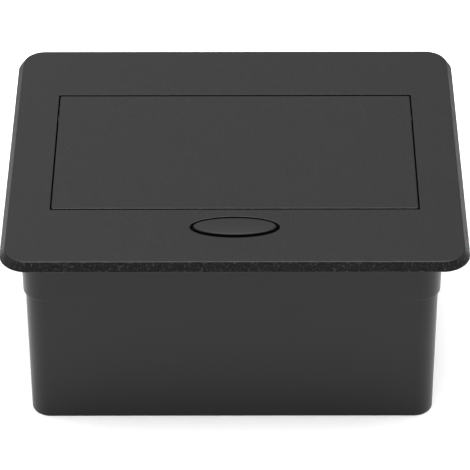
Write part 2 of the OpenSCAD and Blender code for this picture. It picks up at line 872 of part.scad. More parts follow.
module data_grommet() {
    color(rubber) grommet(-inlet_x, data_bore / 2);
}

module panel_screws() {
    color(steel)
        for (p = panel_spots)
            translate([p[0], p[1], flange_z])
                screw(screw_r, flange_t + panel_screw_depth - slip, panel_head_r, screw_head_t);
}

module box_screws() {
    color(steel)
        for (p = post_spots)
            translate([p[0], p[1], post_top_z - post_floor])
                screw(screw_r, box_screw_len, screw_head_r, screw_head_t);
}

module hinge_pin() {
    color(steel) along_axis_x() {
        translate([0, 0, cheek_in_x - ring_gap - ring_t]) difference() {
            translate([0, 0, -pin_tail])
                cylinder(r = hinge_pin_r, h = hinge_pin_len);
            difference() {
                cylinder(r = hinge_pin_r + cut, h = ring_t);
                translate([0, 0, -cut]) cylinder(r = hinge_pin_r - ring_groove, h = ring_t + 2 * cut);
            }
        }
        translate([0, 0, ear_out_x]) cylinder(r = pin_head_r, h = pin_head_t);
    }
}

// Puts a Z axis shape on the hinge axis, running towards +X
module along_axis_x() {
    translate([0, hinge_y, hinge_z]) rotate([0, 90, 0]) children();
}

module hinge_pin_right() {
    hinge_pin();
}

module hinge_pin_left() {
    mirror([1, 0, 0]) hinge_pin();
}

module pin_rings() {
    color(steel) both_sides() along_axis_x()
        translate([0, 0, cheek_in_x - ring_gap - ring_t]) difference() {
            cylinder(r = ring_r, h = ring_t);
            translate([0, 0, -cut]) cylinder(r = hinge_pin_r - ring_groove, h = ring_t + 2 * cut);
        }
}

module lift_spring() {
    color(steel) translate([0, hinge_y, hinge_z]) wire(lift_path, lift_wire_r);
}

module lift_spring_right() {
    lift_spring();
}

module lift_spring_left() {
    mirror([1, 0, 0]) lift_spring();
}

module damper_body() {
    color(grey_plastic) difference() {
        union() {
            along_x(-ear_in_x, -damper_in_x) translate([damper_y, damper_z]) circle(r = damper_r);
            along_x(-ear_in_x, -ear_in_x + damper_lug_t)
                translate([damper_y, damper_z])
                    rounded(2 * damper_lug_half, damper_lug_h, damper_lug_h / 2 - 0.1);
        }
        along_x(-ear_in_x + damper_floor, -damper_in_x + cut)
            translate([damper_y, damper_z]) circle(r = pinion_shaft_r + fit);
        for (s = [-1, 1])
            along_x(-ear_in_x - cut, -damper_in_x + cut)
                translate([damper_y + s * damper_screw_y, damper_z]) circle(r = small_screw_r + fit);
    }
}

module damper_screws() {
    color(steel)
        for (s = [-1, 1])
            translate([-ear_in_x + damper_lug_t, damper_y + s * damper_screw_y, damper_z])
                rotate([0, -90, 0]) screw(small_screw_r, damper_lug_t + ear_t, small_head_r, small_head_t);
}

module latch_pin() {
    half = latch_w / 2 + latch_ear_gap + latch_ear_t;
    color(steel) along_x(-half, half) translate([pivot_y, pivot_z]) circle(r = latch_pin_r);
}

module latch_spring() {
    color(steel) translate([0, plunger_y, strap_z + strap_t]) wire(latch_path, latch_wire_r);
}

module button_springs() {
    color(steel)
        for (s = [-1, 1])
            translate([s * post_pitch / 2, button_y, pivot_z]) wire(button_path, button_wire_r);
}

// Pieces of the tilting module

module lid_plate() {
    color(black_matt) difference() {
        union() {
            translate([0, lid_mid_y, lid_under_z])
                bevel_plate(lid_w, lid_d, lid_r, lid_t, lid_bevel, lid_bevel);
            for (p = lid_spots)
                translate([p[0], p[1], lid_under_z - lid_flange_t + lid_boss_lift])
                    cylinder(r = lid_boss_r, h = lid_flange_t);
        }
        for (p = lid_spots)
            translate([p[0], p[1], lid_under_z - lid_flange_t - cut])
                cylinder(r = small_screw_r + fit, h = lid_flange_t + lid_screw_depth + cut);
    }
}

module lid_screws() {
    color(steel)
        for (p = lid_spots)
            translate([p[0], p[1], lid_under_z - lid_flange_t])
                screw(small_screw_r, lid_flange_t + lid_screw_depth - slip, lid_head_r, small_head_t);
}

module module_frame() {
    color(black_plastic) difference() {
        union() {
            both_sides() {
                along_x(cheek_in_x, cheek_out_x) cheek_outline();
                translate([cheek_in_x - lid_flange_w, lid_flange_front_y, lid_under_z - lid_flange_t])
                    cube([lid_flange_w + cheek_t / 2, lid_flange_rear_y - lid_flange_front_y, lid_flange_t]);
                for (drop = face_screw_drops)
                    on_face(cheek_in_x - lug_w, plate_t, drop + lug_h / 2)
                        cube([lug_w + cheek_t / 2, lug_depth, lug_h]);
                along_x(cheek_in_x, cheek_out_x + stop_over) stop_outline();
            }
            translate([-cheek_in_x - cheek_t / 2, tie_front_y, lid_under_z - tie_h])
                cube([2 * cheek_in_x + cheek_t, tie_d, tie_h]);
            on_face(-cheek_in_x - cheek_t / 2, plate_t, face_h)
                cube([2 * cheek_in_x + cheek_t, bar_d, bar_h]);
        }
        for (p = lid_spots)
            translate([p[0], p[1], lid_under_z - lid_flange_t - cut])
                cylinder(r = lid_boss_r + slip, h = lid_flange_t + 2 * cut);
        for (s = [-1, 1], drop = face_screw_drops)
            on_face(s * face_screw_x, plate_t - cut, drop)
                inward() cylinder(r = small_screw_r + fit, h = face_screw_len);
        for (x = cover_screw_xs)
            on_face(x, plate_t + bar_d / 2, face_h + cut)
                cylinder(r = small_screw_r + fit, h = bar_h + cut - 0.4);
        along_x(-cheek_out_x - cut, cheek_out_x + cut) translate([hinge_y, hinge_z]) circle(r = bush_r);
        for (r = sector_screw_r)
            along_x(-cheek_out_x - cut, -cheek_in_x + cut) translate(sector_spot(r))
                circle(r = small_screw_r + fit);
    }
}

module cheek_outline() {
    polygon([
        [lid_front_y + plate_t / cos(face_tilt), lid_under_z],
        face_point(plate_t, face_h),
        face_point(plate_t + bar_d + cheek_foot, face_h),
        [hinge_y, hinge_z - lobe_r],
        [hinge_y + lobe_r, hinge_z],
        [hinge_y + lobe_r, lid_under_z]
    ]);
    translate([hinge_y, hinge_z]) circle(r = lobe_r);
}

// Foot that stops the module: its tip is set where it meets the panel when open, its root on the cheek
module stop_outline() {
    edge = hinge_y - open_front_y;
    height = recess_z - free - hinge_z;
    polygon([
        turned([-edge - stop_reach, height]),
        turned([-edge - stop_reach, height - stop_t]),
        face_point(plate_t + stop_clear + stop_t, face_h + stop_t - stop_clear),
        face_point(plate_t + bar_d + cheek_foot, face_h),
        face_point(plate_t + stop_root, face_h - stop_root),
        face_point(plate_t + stop_clear, face_h + stop_clear),
        turned([stop_land - edge, height])
    ]);
}

module hinge_bush() {
    color(white_plastic) along_axis_x() difference() {
        union() {
            translate([0, 0, cheek_in_x]) cylinder(r = bush_r, h = cheek_t);
            translate([0, 0, cheek_out_x]) cylinder(r = bush_flange_r, h = bush_flange_t);
        }
        translate([0, 0, cheek_in_x - cut])
            cylinder(r = hinge_pin_r + fit, h = cheek_t + bush_flange_t + 2 * cut);
    }
}

module hinge_bush_right() {
    hinge_bush();
}

module hinge_bush_left() {
    mirror([1, 0, 0]) hinge_bush();
}

module damper_sector() {
    root = sector_r - gear_root * gear_module;
    reach = 2 * sector_r;
    color(white_plastic) along_x(-sector_out_x, -cheek_out_x) difference() {
        translate([hinge_y, hinge_z]) {
            intersection() {
                difference() {
                    circle(r = root);
                    circle(r = sector_in_r);
                }
                polygon([
                    [0, 0],
                    reach * [cos(sector_from), sin(sector_from)],
                    reach * [cos((sector_from + sector_to) / 2), sin((sector_from + sector_to) / 2)],
                    reach * [cos(sector_to), sin(sector_to)]
                ]);
            }
            for (k = [-sector_back:sector_on])
                rotate(damper_polar + sector_step * (k + 0.5)) tooth(sector_r);
        }
        for (r = sector_screw_r) translate(sector_spot(r)) circle(r = small_screw_r + fit);
    }
}

module sector_screws() {
    color(steel)
        for (r = sector_screw_r)
            translate([-sector_out_x, sector_spot(r)[0], sector_spot(r)[1]])
                rotate([0, 90, 0]) screw(small_screw_r, sector_t + cheek_t, small_head_r, small_head_t);
}

module socket_plate() {
    color(black_matt) difference() {
        along_x(-plate_half, plate_half)
            polygon([
                face_point(0, 0),
                face_point(plate_t, lid_drop(plate_t)),
                face_point(plate_t, face_h),
                face_point(0, face_h)
            ]);
        for (x = socket_spots)
            on_face(x, -cut, socket_drop) inward() cylinder(r = face_hole_r, h = plate_t + 2 * cut);
        on_face(0, 0, (usb_drops[0] + usb_drops[1]) / 2) port_cut(usb_w + slip, 2 * usb_h + usb_gap + slip);
        on_face(0, 0, jack_drop) port_cut(jack_w + slip, jack_h + slip);
        on_face(0, 0, (slot_top + slot_low) / 2) port_cut(2 * keeper_window, slot_low - slot_top);
        for (s = [-1, 1], drop = face_screw_drops)
            on_face(s * face_screw_x, -cut, drop) inward() {
                cylinder(r = small_screw_r + fit, h = plate_t + 2 * cut);
                cylinder(r = small_head_r + slip, h = small_head_t + cut);
            }
    }
}

module port_cut(w, h) {
    translate([-w / 2, -cut, -h / 2]) cube([w, plate_t + 2 * cut, h]);
}

module face_screws() {
    color(steel)
        for (s = [-1, 1], drop = face_screw_drops)
            on_face(s * face_screw_x, small_head_t, drop)
                inward() screw(small_screw_r, face_screw_len - 1, small_head_r, small_head_t);
}

module latch_keeper() {
    color(steel) on_face(0, plate_t, 0) difference() {
        translate([-keeper_half, 0, -keeper_low]) cube([2 * keeper_half, keeper_t, keeper_low - keeper_top]);
        translate([-keeper_window, -cut, -slot_low])
            cube([2 * keeper_window, keeper_t + 2 * cut, slot_low - slot_top]);
    }
}

module socket_well(x) {
    color(black_plastic) on_face(x, 0, socket_drop) inward() difference() {
        union() {
            cylinder(r = well_out_r, h = well_back);
            translate([0, 0, -well_rim_t]) cylinder(r = well_out_r + well_rim, h = well_rim_t);
        }
        difference() {
            translate([0, 0, -well_rim_t - cut]) cylinder(r = well_r, h = well_depth + well_rim_t + cut);
            for (s = [-1, 1])
                translate([s * well_r - key_t, -key_w / 2, key_start]) cube([2 * key_t, key_w, well_depth]);
        }
        for (s = [-1, 1]) {
            translate([s * pin_pitch / 2, 0, 0]) cylinder(r = pin_hole_r, h = well_back + cut);
            translate([-clip_slot_w / 2, s * (clip_r + clip_t / 2) - clip_t, well_depth - cut])
                cube([clip_slot_w, 2 * clip_t, well_floor + 2 * cut]);
        }
    }
}

module socket_well_left() {
    socket_well(socket_spots[0]);
}

module socket_well_right() {
    socket_well(socket_spots[1]);
}

// Sprung earth strips at the top and bottom of each well
module earth_clips() {
    bow = clip_r - clip_bow;
    color(brass)
        for (x = socket_spots, s = [-1, 1])
            on_face(x, 0, socket_drop) top_or_bottom(s) translate([-clip_w / 2, 0, 0])
                rotate([90, 0, 90]) linear_extrude(clip_w)
                    polygon([
                        [clip_end, clip_r],
                        [clip_root, clip_r],
                        [clip_belly, bow],
                        [clip_tip, clip_r + clip_flare],
                        [clip_tip, clip_r + clip_t + clip_flare],
                        [clip_belly, bow + clip_t],
                        [clip_root, clip_r + clip_t],
                        [clip_end, clip_r + clip_t]
                    ]);
}

// Mirrors a shape to the top or bottom of a well
module top_or_bottom(s) {
    mirror([0, 0, s > 0 ? 0 : 1]) children();
}

module earth_bar() {
    reach = clip_r + clip_t;
    color(brass) {
        for (x = socket_spots)
            on_face(x - earth_link_w / 2, clip_end, socket_drop + reach)
                cube([earth_link_w, strip_t, 2 * reach]);
        on_face(socket_spots[0], clip_end, socket_drop + reach) cube([socket_pitch, strip_t, earth_link_w]);
    }
}

// Two contact sleeves joined by a strip: side -1 lies above the sockets' middle, 1 below
module contact_bar(side) {
    xs = [for (x = socket_spots) x + side * pin_pitch / 2];
    color(brass) difference() {
        union() {
            for (x = xs) {
                on_face(x, well_back, socket_drop)
                    inward() cylinder(r = sleeve_in_r + sleeve_wall, h = sleeve_len);
                on_face(x, sleeve_end, socket_drop) inward() cylinder(r = strip_ring_r, h = strip_t);
                on_face(x - strip_tab / 2, sleeve_end, socket_drop + max(0, side * strip_far))
                    cube([strip_tab, strip_t, strip_far]);
            }
            on_face(xs[0], sleeve_end, socket_drop + (side > 0 ? strip_far : -strip_near))
                cube([socket_pitch, strip_t, strip_far - strip_near]);
        }
        for (x = xs)
            on_face(x, well_back - cut, socket_drop)
                inward() cylinder(r = sleeve_in_r, h = sleeve_len + strip_t + 2 * cut);
    }
}

module live_bar() {
    contact_bar(-1);
}

module neutral_bar() {
    contact_bar(1);
}

module terminal_clamps() {
    color(brass)
        for (c = clamp_spots)
            on_face(c[0], c[1], c[2]) difference() {
                translate([-clamp_w / 2, 0, -clamp_h / 2]) cube([clamp_w, clamp_d, clamp_h]);
                translate([0, clamp_d / 2, -clamp_h]) cylinder(r = clamp_wire_r, h = 2 * clamp_h);
                translate([0, clamp_d / 2, 0]) inward() cylinder(r = clamp_screw_r + fit, h = clamp_d);
            }
}

module terminal_screws() {
    color(steel)
        for (c = clamp_spots)
            on_face(c[0], c[1] + clamp_d, c[2])
                rotate([90, 0, 0])
                    screw(clamp_screw_r, clamp_d / 2 - clamp_wire_r, clamp_head_r, clamp_head_t);
}

module usb_shells() {
    color(steel)
        for (drop = usb_drops)
            on_face(0, usb_recess, drop) difference() {
                translate([-usb_w / 2, 0, -usb_h / 2]) cube([usb_w, usb_depth, usb_h]);
                translate([-usb_w / 2 + usb_wall, -cut, -usb_h / 2 + usb_wall])
                    cube([usb_w - 2 * usb_wall, usb_depth + cut - usb_wall, usb_h - 2 * usb_wall]);
            }
}

module usb_tongues() {
    w = usb_w - 2 * (usb_wall + tongue_side);
    color(white_plastic)
        for (drop = usb_drops)
            on_face(-w / 2, usb_recess + tongue_short, drop - usb_h / 2 + usb_wall + tongue_t + tongue_drop)
                cube([w, usb_depth - tongue_short - usb_wall, tongue_t]);
}

module charger_board() {
    color(board_green) on_face(-board_half, plate_t, board_top + board_t)
        cube([2 * board_half, board_depth - plate_t, board_t]);
}

// Transformer, capacitor and choke on the charger board
module board_parts() {
    color(grey_plastic) {
        on_face(-coil_size / 2, parts_start, board_top) cube([coil_size, coil_size, coil_size]);
        on_face(can_x, parts_start, board_top - can_r) inward() difference() {
            cylinder(r = can_r, h = can_len);
            translate([-can_r, can_r - 0.4, -cut]) cube([2 * can_r, can_r, can_len + 2 * cut]);
        }
        on_face(-can_x, parts_start + choke_r, board_top) cylinder(r = choke_r, h = choke_h);
    }
}

module network_jack() {
    color(black_plastic) on_face(0, usb_recess, jack_drop) difference() {
        translate([-jack_w / 2, 0, -jack_h / 2]) cube([jack_w, jack_depth, jack_h]);
        translate([-jack_port_w / 2, -cut, -jack_port_h / 2])
            cube([jack_port_w, jack_port_depth + cut, jack_port_h]);
        translate([-jack_key_w / 2, -cut, -jack_port_h / 2 - jack_key_h])
            cube([jack_key_w, jack_port_depth + cut, jack_key_h + cut]);
    }
}

module jack_contacts() {
    first = -jack_contact_pitch * (jack_contacts_count - 1) / 2;
    color(brass)
        for (k = [0:jack_contacts_count - 1])
            on_face(
                first + k * jack_contact_pitch - jack_contact / 2,
                usb_recess + jack_port_depth - jack_contact_len,
                jack_drop - jack_port_h / 2 + jack_contact
            )
                cube([jack_contact, jack_contact_len, jack_contact]);
}

module rear_cover() {
    bend_drop = face_h + cover_t;
    far = cover_reach + cover_t;
    top_drop = lid_drop(far) + (lid_flange_t + small_head_t + free) / cos(face_tilt);
    color(black_plastic) difference() {
        along_x(-cover_half, cover_half)
            polygon([
                face_point(cover_start, face_h),
                face_point(cover_start, bend_drop),
                face_point(cover_bend, bend_drop),
                face_point(far, bend_drop - cover_slant),
                face_point(far, top_drop),
                face_point(cover_reach, top_drop),
                face_point(cover_reach, bend_drop - cover_slant - cover_t / 2),
                face_point(cover_bend - cover_t / 2, face_h)
            ]);
        on_face(0, cover_reach - cut, socket_drop + cable_hole_r)
            inward() cylinder(r = cable_hole_r, h = cover_t + 2 * cut);
        for (x = cover_screw_xs)
            on_face(x, plate_t + bar_d / 2, face_h + cover_t + cut)
                cylinder(r = small_screw_r + fit, h = cover_t + 2 * cut);
    }
}

module cover_screws() {
    color(steel)
        for (x = cover_screw_xs)
            on_face(x, plate_t + bar_d / 2, face_h + cover_t)
                screw(small_screw_r, cover_t + bar_h - 0.6, small_head_r, small_head_t);
}

// Pieces of the button, the latch and the damper's pinion

module button_cap() {
    color(black_matt) oval(button_w / 2, button_d / 2, slider_top_z, top_z + button_proud);
}

module button_slider() {
    color(black_plastic) {
        oval(button_w / 2, button_d / 2, slider_z, slider_top_z);
        difference() {
            oval(slider_rx, slider_ry, slider_z, slider_top_z);
            translate([-lug_start_x, button_y - slider_ry - cut, slider_z - cut])
                cube([2 * lug_start_x, 2 * (slider_ry + cut), slider_t + 2 * cut]);
        }
        for (s = [-1, 1])
            translate([s * post_pitch / 2, button_y, bridge_z - guide_below])
                cylinder(r = guide_r, h = slider_z + slider_t / 2 - bridge_z + guide_below);
        translate([-plunger_w / 2, plunger_y - plunger_d / 2, plunger_z])
            cube([plunger_w, plunger_d, slider_z + slider_t / 2 - plunger_z]);
    }
}

module latch_lever() {
    tip_top = face_point(-hook_gap, hook_drop - hook_tip_t / 2);
    tip_low = face_point(-hook_gap, hook_drop + hook_t / 2);
    top = face_point(0, hook_drop)[1] + hook_t / 2;
    color(steel) along_x(-latch_w / 2, latch_w / 2) difference() {
        union() {
            polygon([
                tip_low,
                tip_top,
                [pivot_y + latch_arm_t / 2, top],
                [pivot_y - latch_arm_t / 2, top],
                [pivot_y - latch_arm_t / 2, pivot_z],
                [pivot_y + latch_arm_t / 2, pivot_z],
                [pivot_y + latch_arm_t / 2, tip_low[1]]
            ]);
            translate([tail_end_y, tail_low_z]) square([pivot_y - tail_end_y, tail_t]);
            translate([pivot_y, pivot_z]) circle(r = latch_boss_r);
        }
        translate([pivot_y, pivot_z]) circle(r = latch_pin_r + fit);
    }
}

module damper_pinion() {
    root = pinion_r - gear_root * gear_module;
    color(white_plastic) {
        along_x(-pinion_out_x, -pinion_in_x) translate([damper_y, damper_z]) {
            circle(r = root);
            for (k = [0:pinion_teeth - 1]) rotate(damper_polar - 180 + 360 / pinion_teeth * k)
                tooth(pinion_r);
        }
        along_x(-ear_in_x + damper_floor + slip, -pinion_in_x - free)
            translate([damper_y, damper_z]) circle(r = pinion_shaft_r);
    }
}

top_panel();
body_frame();
lower_box();
panel_screws();
box_screws();
hinge_pin_left();
hinge_pin_right();
pin_rings();
lift_spring_left();
lift_spring_right();
damper_body();
damper_screws();
latch_pin();
latch_spring();
button_springs();
mains_grommet();
data_grommet();
lid_plate();
lid_screws();
module_frame();
hinge_bush_left();
hinge_bush_right();
damper_sector();
sector_screws();
socket_plate();
face_screws();
latch_keeper();
socket_well_left();
socket_well_right();
earth_clips();
earth_bar();
live_bar();
neutral_bar();
terminal_clamps();
terminal_screws();
usb_shells();
usb_tongues();
charger_board();
board_parts();
network_jack();
jack_contacts();
rear_cover();
cover_screws();
button_cap();
button_slider();
latch_lever();
damper_pinion();
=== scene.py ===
"""Looks of a pop-up desk socket box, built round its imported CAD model."""

import json
import math

import bmesh
import bpy
import numpy as np
from mathutils import Euler, Matrix, Vector
from mathutils.geometry import delaunay_2d_cdt


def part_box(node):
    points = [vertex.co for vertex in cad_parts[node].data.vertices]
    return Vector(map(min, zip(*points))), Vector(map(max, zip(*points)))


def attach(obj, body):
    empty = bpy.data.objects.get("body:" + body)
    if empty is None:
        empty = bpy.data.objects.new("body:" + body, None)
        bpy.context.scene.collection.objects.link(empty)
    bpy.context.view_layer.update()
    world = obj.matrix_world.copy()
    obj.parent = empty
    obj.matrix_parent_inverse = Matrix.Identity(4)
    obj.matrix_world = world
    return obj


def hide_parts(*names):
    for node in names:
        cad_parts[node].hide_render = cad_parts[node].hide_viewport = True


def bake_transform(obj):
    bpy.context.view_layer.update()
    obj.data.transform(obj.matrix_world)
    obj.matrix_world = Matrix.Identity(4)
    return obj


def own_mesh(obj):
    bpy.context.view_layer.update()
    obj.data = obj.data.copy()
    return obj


bl_info = {
    "name": "Desk socket box",
    "version": (1, 0, 0),
    "blender": (4, 5, 0),
    "location": "View3D > Sidebar > Desk box",
    "description": "Builds the looks of a pop-up desk socket box round its CAD frame",
    "category": "Object",
}

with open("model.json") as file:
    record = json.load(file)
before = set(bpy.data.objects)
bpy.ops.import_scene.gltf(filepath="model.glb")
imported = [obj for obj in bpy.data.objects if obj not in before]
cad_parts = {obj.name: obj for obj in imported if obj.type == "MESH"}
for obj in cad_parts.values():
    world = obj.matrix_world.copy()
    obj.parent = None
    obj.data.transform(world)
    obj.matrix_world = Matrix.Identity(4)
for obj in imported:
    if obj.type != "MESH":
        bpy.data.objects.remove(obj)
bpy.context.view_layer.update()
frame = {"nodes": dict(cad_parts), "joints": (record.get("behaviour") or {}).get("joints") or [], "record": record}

# How finely curves are divided
CORNER_STEPS = 20
FILLET_STEPS = 5
EASE_STEPS = 2
OVAL_STEPS = 128
ROUND_STEPS = 40
WIRE_SIDES = 12
WIRE_STEPS_PER_TURN = 40

# Distances in metres and angles below which points, edges and faces count as one
MERGE_DISTANCE = 1e-7
WELD_DISTANCE = 1e-6
SHORT_EDGE = 1e-5
OUTLINE_TOLERANCE = 2e-5
STRAIGHT_MARGIN = 1e-6
FLAT_ANGLE = math.radians(0.5)

# Edges with a larger angle than this stay sharp
SMOOTH_ANGLE = math.radians(35)

# A flat face is worked out in millimetres, with all its triangles kept at first
MILLIMETRES = 1000
FILL_TOLERANCE = 1e-6
FILL_WHOLE = 0

# The mottled band on the rims of painted pieces: its drop below the top and how fast it ends
RIM_DROP = 0.00005
RIM_SHARPNESS = 4000.0

# Places of a Mix node's sockets for colours
MIX_FACTOR = 0
MIX_FIRST = 6
MIX_SECOND = 7
MIX_RESULT = 2

# Material slot of each CAD node
SLOT_OF = {row["node"]: row["material_slot"] for row in frame["record"]["subparts"]}

# Nodes that don't look like their slot: the latch lever is darkened as painted shade, so that no glint shows
# through the button hole
LOOKS_LIKE = {"latch_lever": "black_steel"}


def length(name, default, description):
    """A size in metres that a user may change."""
    return bpy.props.FloatProperty(
        name=name, description=description, default=default, min=0, precision=5, unit="LENGTH"
    )


def share(name, default, description):
    """A plain number that a user may change."""
    return bpy.props.FloatProperty(name=name, description=description, default=default, precision=6)


def colour(name, default, description):
    """A colour that a user may change."""
    return bpy.props.FloatVectorProperty(
        name=name, description=description, default=default, size=3, min=0, max=1, subtype="COLOR"
    )


class DeskBoxSizes(bpy.types.PropertyGroup):
    """Sizes of the pieces that are made here; everything else comes from the frame."""

    panel_thickness: length("Panel thickness", 0.0035, "Thickness of the panel at its edge")
    panel_corner: length("Panel corner", 0.0109, "Corner radius of the panel in plan")
    bevel_in: length("Bevel width", 0.0022, "How far the panel's bevel runs in from its edge")
    bevel_down: length("Bevel height", 0.0032, "Height of the panel's bevel")
    bevel_round: length("Bevel rounding", 0.00018, "Radius at the panel's lower edges")
    bevel_top_round: length("Bevel top rounding", 0.0007, "Radius where the bevel meets the panel's top")
    recess: length("Recess", 0.0006, "Depth of the recess under the panel")
    recess_slip: length("Recess slip", 0.0001, "Gap between the recess and the collar")
    collar_corner: length("Collar corner", 0.0086, "Corner radius of the collar in plan")
    collar_depth: length("Collar depth", 0.0215, "Height of the collar below the panel")
    box_corner: length("Box corner", 0.0077, "Corner radius of the box in plan")
    foot_round: length("Foot rounding", 0.0005, "Width of the rounding at the foot of collar and box")
    opening_round: length("Opening rounding", 0.00025, "Radius at the top edge of the lid opening")
    opening_corner: length("Opening corner", 0.0005, "Corner radius of the lid opening")
    gap_side: length("Side gap", 0.00045, "Gap between lid and panel at each side")
    gap_front: length("Front gap", 0.0006, "Gap between lid and panel at the front")
    gap_rear: length("Rear gap", 0.00045, "Gap between lid and panel at the back")
    rear_lean: share("Rear lean", 0.6, "How far the opening's back edge leans out for each unit of depth")
    lid_thickness: length("Lid thickness", 0.0026, "Thickness of the lid")
    lid_corner: length("Lid corner", 0.0008, "Corner radius of the lid")
    lid_round: length("Lid rounding", 0.00045, "Radius at the lid's top edge")
    button_gap: length("Button gap", 0.00135, "Gap around the oval button")
    hole_round: length("Hole rounding", 0.0003, "Radius at the top edge of the button hole")
    button_slope_in: length("Button slope width", 0.0005, "How far the slope runs in from the button's edge")
    button_slope_down: length("Button slope height", 0.00035, "Height of the slope round the button's top")
    button_round: length("Button rounding", 0.00025, "Radius at both edges of the button's slope")
    button_crown: length("Button crown", 0.0002, "Rise of the button's top towards its middle")


class DeskBoxColours(bpy.types.PropertyGroup):
    """Base colours of the finishes."""

    paint: colour("Grained paint", (0.004, 0.004, 0.0042), "Matt black paint of the panel and the lid")
    plastic: colour("Black plastic", (0.003, 0.003, 0.0031), "Satin black plastic of the collar and the box")
    button: colour("Button plastic", (0.004, 0.004, 0.0042), "Matt black plastic of the button")
    steel: colour("Steel", (0.62, 0.63, 0.65), "Bright steel of pins, screws and the latch")
    # Painted shade: the springs are darkened so that no glint shows through the gaps round the lid, where little
    # light reaches them
    spring: colour("Spring steel", (0.10, 0.10, 0.11), "Dark oiled wire of the springs")
    # Painted shade: the latch lever's steel is darkened so that no glint shows through the button hole
    latch_shade: colour("Black oxide", (0.02, 0.02, 0.021), "Blackened steel of the latch lever")
    brass: colour("Brass", (0.72, 0.53, 0.23), "Brass of the contacts and clamps")
    white: colour("White nylon", (0.6, 0.6, 0.57), "White nylon of the gears and bushes")
    grey: colour("Grey plastic", (0.11, 0.11, 0.12), "Grey plastic of the damper and the board parts")
    board: colour("Circuit board", (0.02, 0.13, 0.05), "Lacquered circuit board")
    rubber: colour("Rubber", (0.018, 0.018, 0.018), "Soft rubber of the inlets")
    floor: colour("Floor", (0.95, 0.95, 0.95), "Plain pale floor")


class DeskBoxStage(bpy.types.PropertyGroup):
    """Camera and light."""

    camera_x: share("Camera X", 0.002596, "Camera place across the box, in metres")
    camera_y: share("Camera Y", -0.924433, "Camera place ahead of the box, in metres")
    camera_z: share("Camera Z", 0.766483, "Camera height above the base, in metres")
    pitch: share("Pitch", 0.664051, "How far the camera looks down, in radians")
    yaw: share("Yaw", 0.002884, "How far the camera turns left, in radians")
    roll: share("Roll", -0.002999, "How far the camera rolls, in radians")
    lens: share("Lens", 219.4, "Focal length in millimetres on a 36 mm sensor")
    sky: share("Light", 0.62, "Brightness of the white room")
    overhead: share("Overhead light", 8.5, "Extra brightness straight above")
    overhead_from: share("Overhead edge", 0.74, "Sine of the height where the overhead light starts")
    shade_height: share("Shade height", 0.45, "Height of the shade's middle behind the camera, in radians")
    front_shade: share("Front shade", 0.0, "Brightness of the room behind the camera, as a share of the rest")
    side_tilt: share("Side tilt", 0.18, "How much brighter the room is on the left than on the right")
    lamp_power: share("Lamp power", 1.6, "Power of the soft lamp behind the box on its left, in watts")
    lamp_size: length("Lamp size", 1.3, "Width and height of the soft lamp")
    lamp_x: share("Lamp X", -0.6, "Lamp place across the box, in metres")
    lamp_y: share("Lamp Y", 1.2, "Lamp place behind the box, in metres")
    lamp_z: share("Lamp Z", 1.0, "Lamp height above the base, in metres")
    floor_half: length("Floor", 4.0, "Half the width of the floor")
    # Painted light and shade on the floor: brighter and glowing round the box to lift its shadow, darker further
    # away
    painted_pool_half: length("Light table", 0.22, "How far the lit part of the floor reaches from the middle")
    painted_pool_fade: length("Table fade", 0.16, "Width over which the lit part of the floor fades out")
    painted_pool_glow: share("Table glow", 0.2, "Light that the lit part of the floor gives off")
    # Painted shade: the floor's colour away from the box
    painted_floor_dusk: share("Floor dusk", 0.35, "Tone of the floor away from the box, as a share of the rest")


# Surfaces worked out as arrays of points


def corner_rings(half_x, low_y, high_y, radius, z):
    """Rounded rectangles, one a row: quarter circles of the given radius about the four corner centres,
    counterclockwise seen from above, at height z."""
    half_x, low_y, high_y, radius, z = np.broadcast_arrays(half_x, low_y, high_y, radius, z)
    quarter = np.linspace(0, math.pi / 2, CORNER_STEPS + 1)
    angle = (np.arange(4)[:, None] * math.pi / 2 + quarter).ravel()
    side_x = np.repeat([1, -1, -1, 1], CORNER_STEPS + 1)
    at_back = np.repeat([True, True, False, False], CORNER_STEPS + 1)
    centre_x = side_x * (half_x - radius)[:, None]
    centre_y = np.where(at_back, (high_y - radius)[:, None], (low_y + radius)[:, None])
    x = centre_x + radius[:, None] * np.cos(angle)
    y = centre_y + radius[:, None] * np.sin(angle)
    return np.stack([x, y, np.repeat(z[:, None], angle.size, axis=1)], axis=2)


def oval_rings(radius_x, radius_y, centre, z, steps=OVAL_STEPS):
    """Ellipses, one a row: centre plus (radius_x cos a, radius_y sin a) for a round the full turn, at
    height z."""
    radius_x, radius_y, z = np.broadcast_arrays(np.asarray(radius_x, float), radius_y, z)
    angle = np.linspace(0, 2 * math.pi, steps, endpoint=False)
    x = centre[0] + radius_x[:, None] * np.cos(angle)
    y = centre[1] + radius_y[:, None] * np.sin(angle)
    return np.stack([x, y, np.repeat(z[:, None], steps, axis=1)], axis=2)


def fillet(points, radii):
    """A path in two dimensions with its inner corners rounded: each corner becomes an arc that touches both
    of its sides, at a distance of radius over the tangent of half the corner's angle."""
    points = np.asarray(points, float)
    result = [points[:1]]
    for before, corner, after, radius in zip(points[:-2], points[1:-1], points[2:], radii):
        to_before = (before - corner) / np.linalg.norm(before - corner)
        to_after = (after - corner) / np.linalg.norm(after - corner)
        half = math.acos(np.clip(to_before @ to_after, -1, 1)) / 2
        if radius == 0 or half > math.pi / 2 - STRAIGHT_MARGIN:
            result.append(corner[None])
            continue
        middle = to_before + to_after
        centre = corner + middle / np.linalg.norm(middle) * radius / math.sin(half)
        first = corner + to_before * radius / math.tan(half) - centre
        last = corner + to_after * radius / math.tan(half) - centre
        sweep = math.pi - 2 * half
        share_of_arc = np.linspace(0, 1, FILLET_STEPS + 1)[:, None]
        arc = np.sin((1 - share_of_arc) * sweep) * first + np.sin(share_of_arc * sweep) * last
        result.append(centre + arc / math.sin(sweep))
    result.append(points[-1:])
    return np.concatenate(result)


def stitch(rings):
    """Quads between each ring of points and the next, closed round the ring."""
    count, around = rings.shape[:2]
    index = np.arange(count * around).reshape(count, around)
    low, high = index[:-1], index[1:]
    quads = np.stack([low, np.roll(low, -1, axis=1), np.roll(high, -1, axis=1), high], axis=2)
    return rings.reshape(-1, 3), quads.reshape(-1, 4)


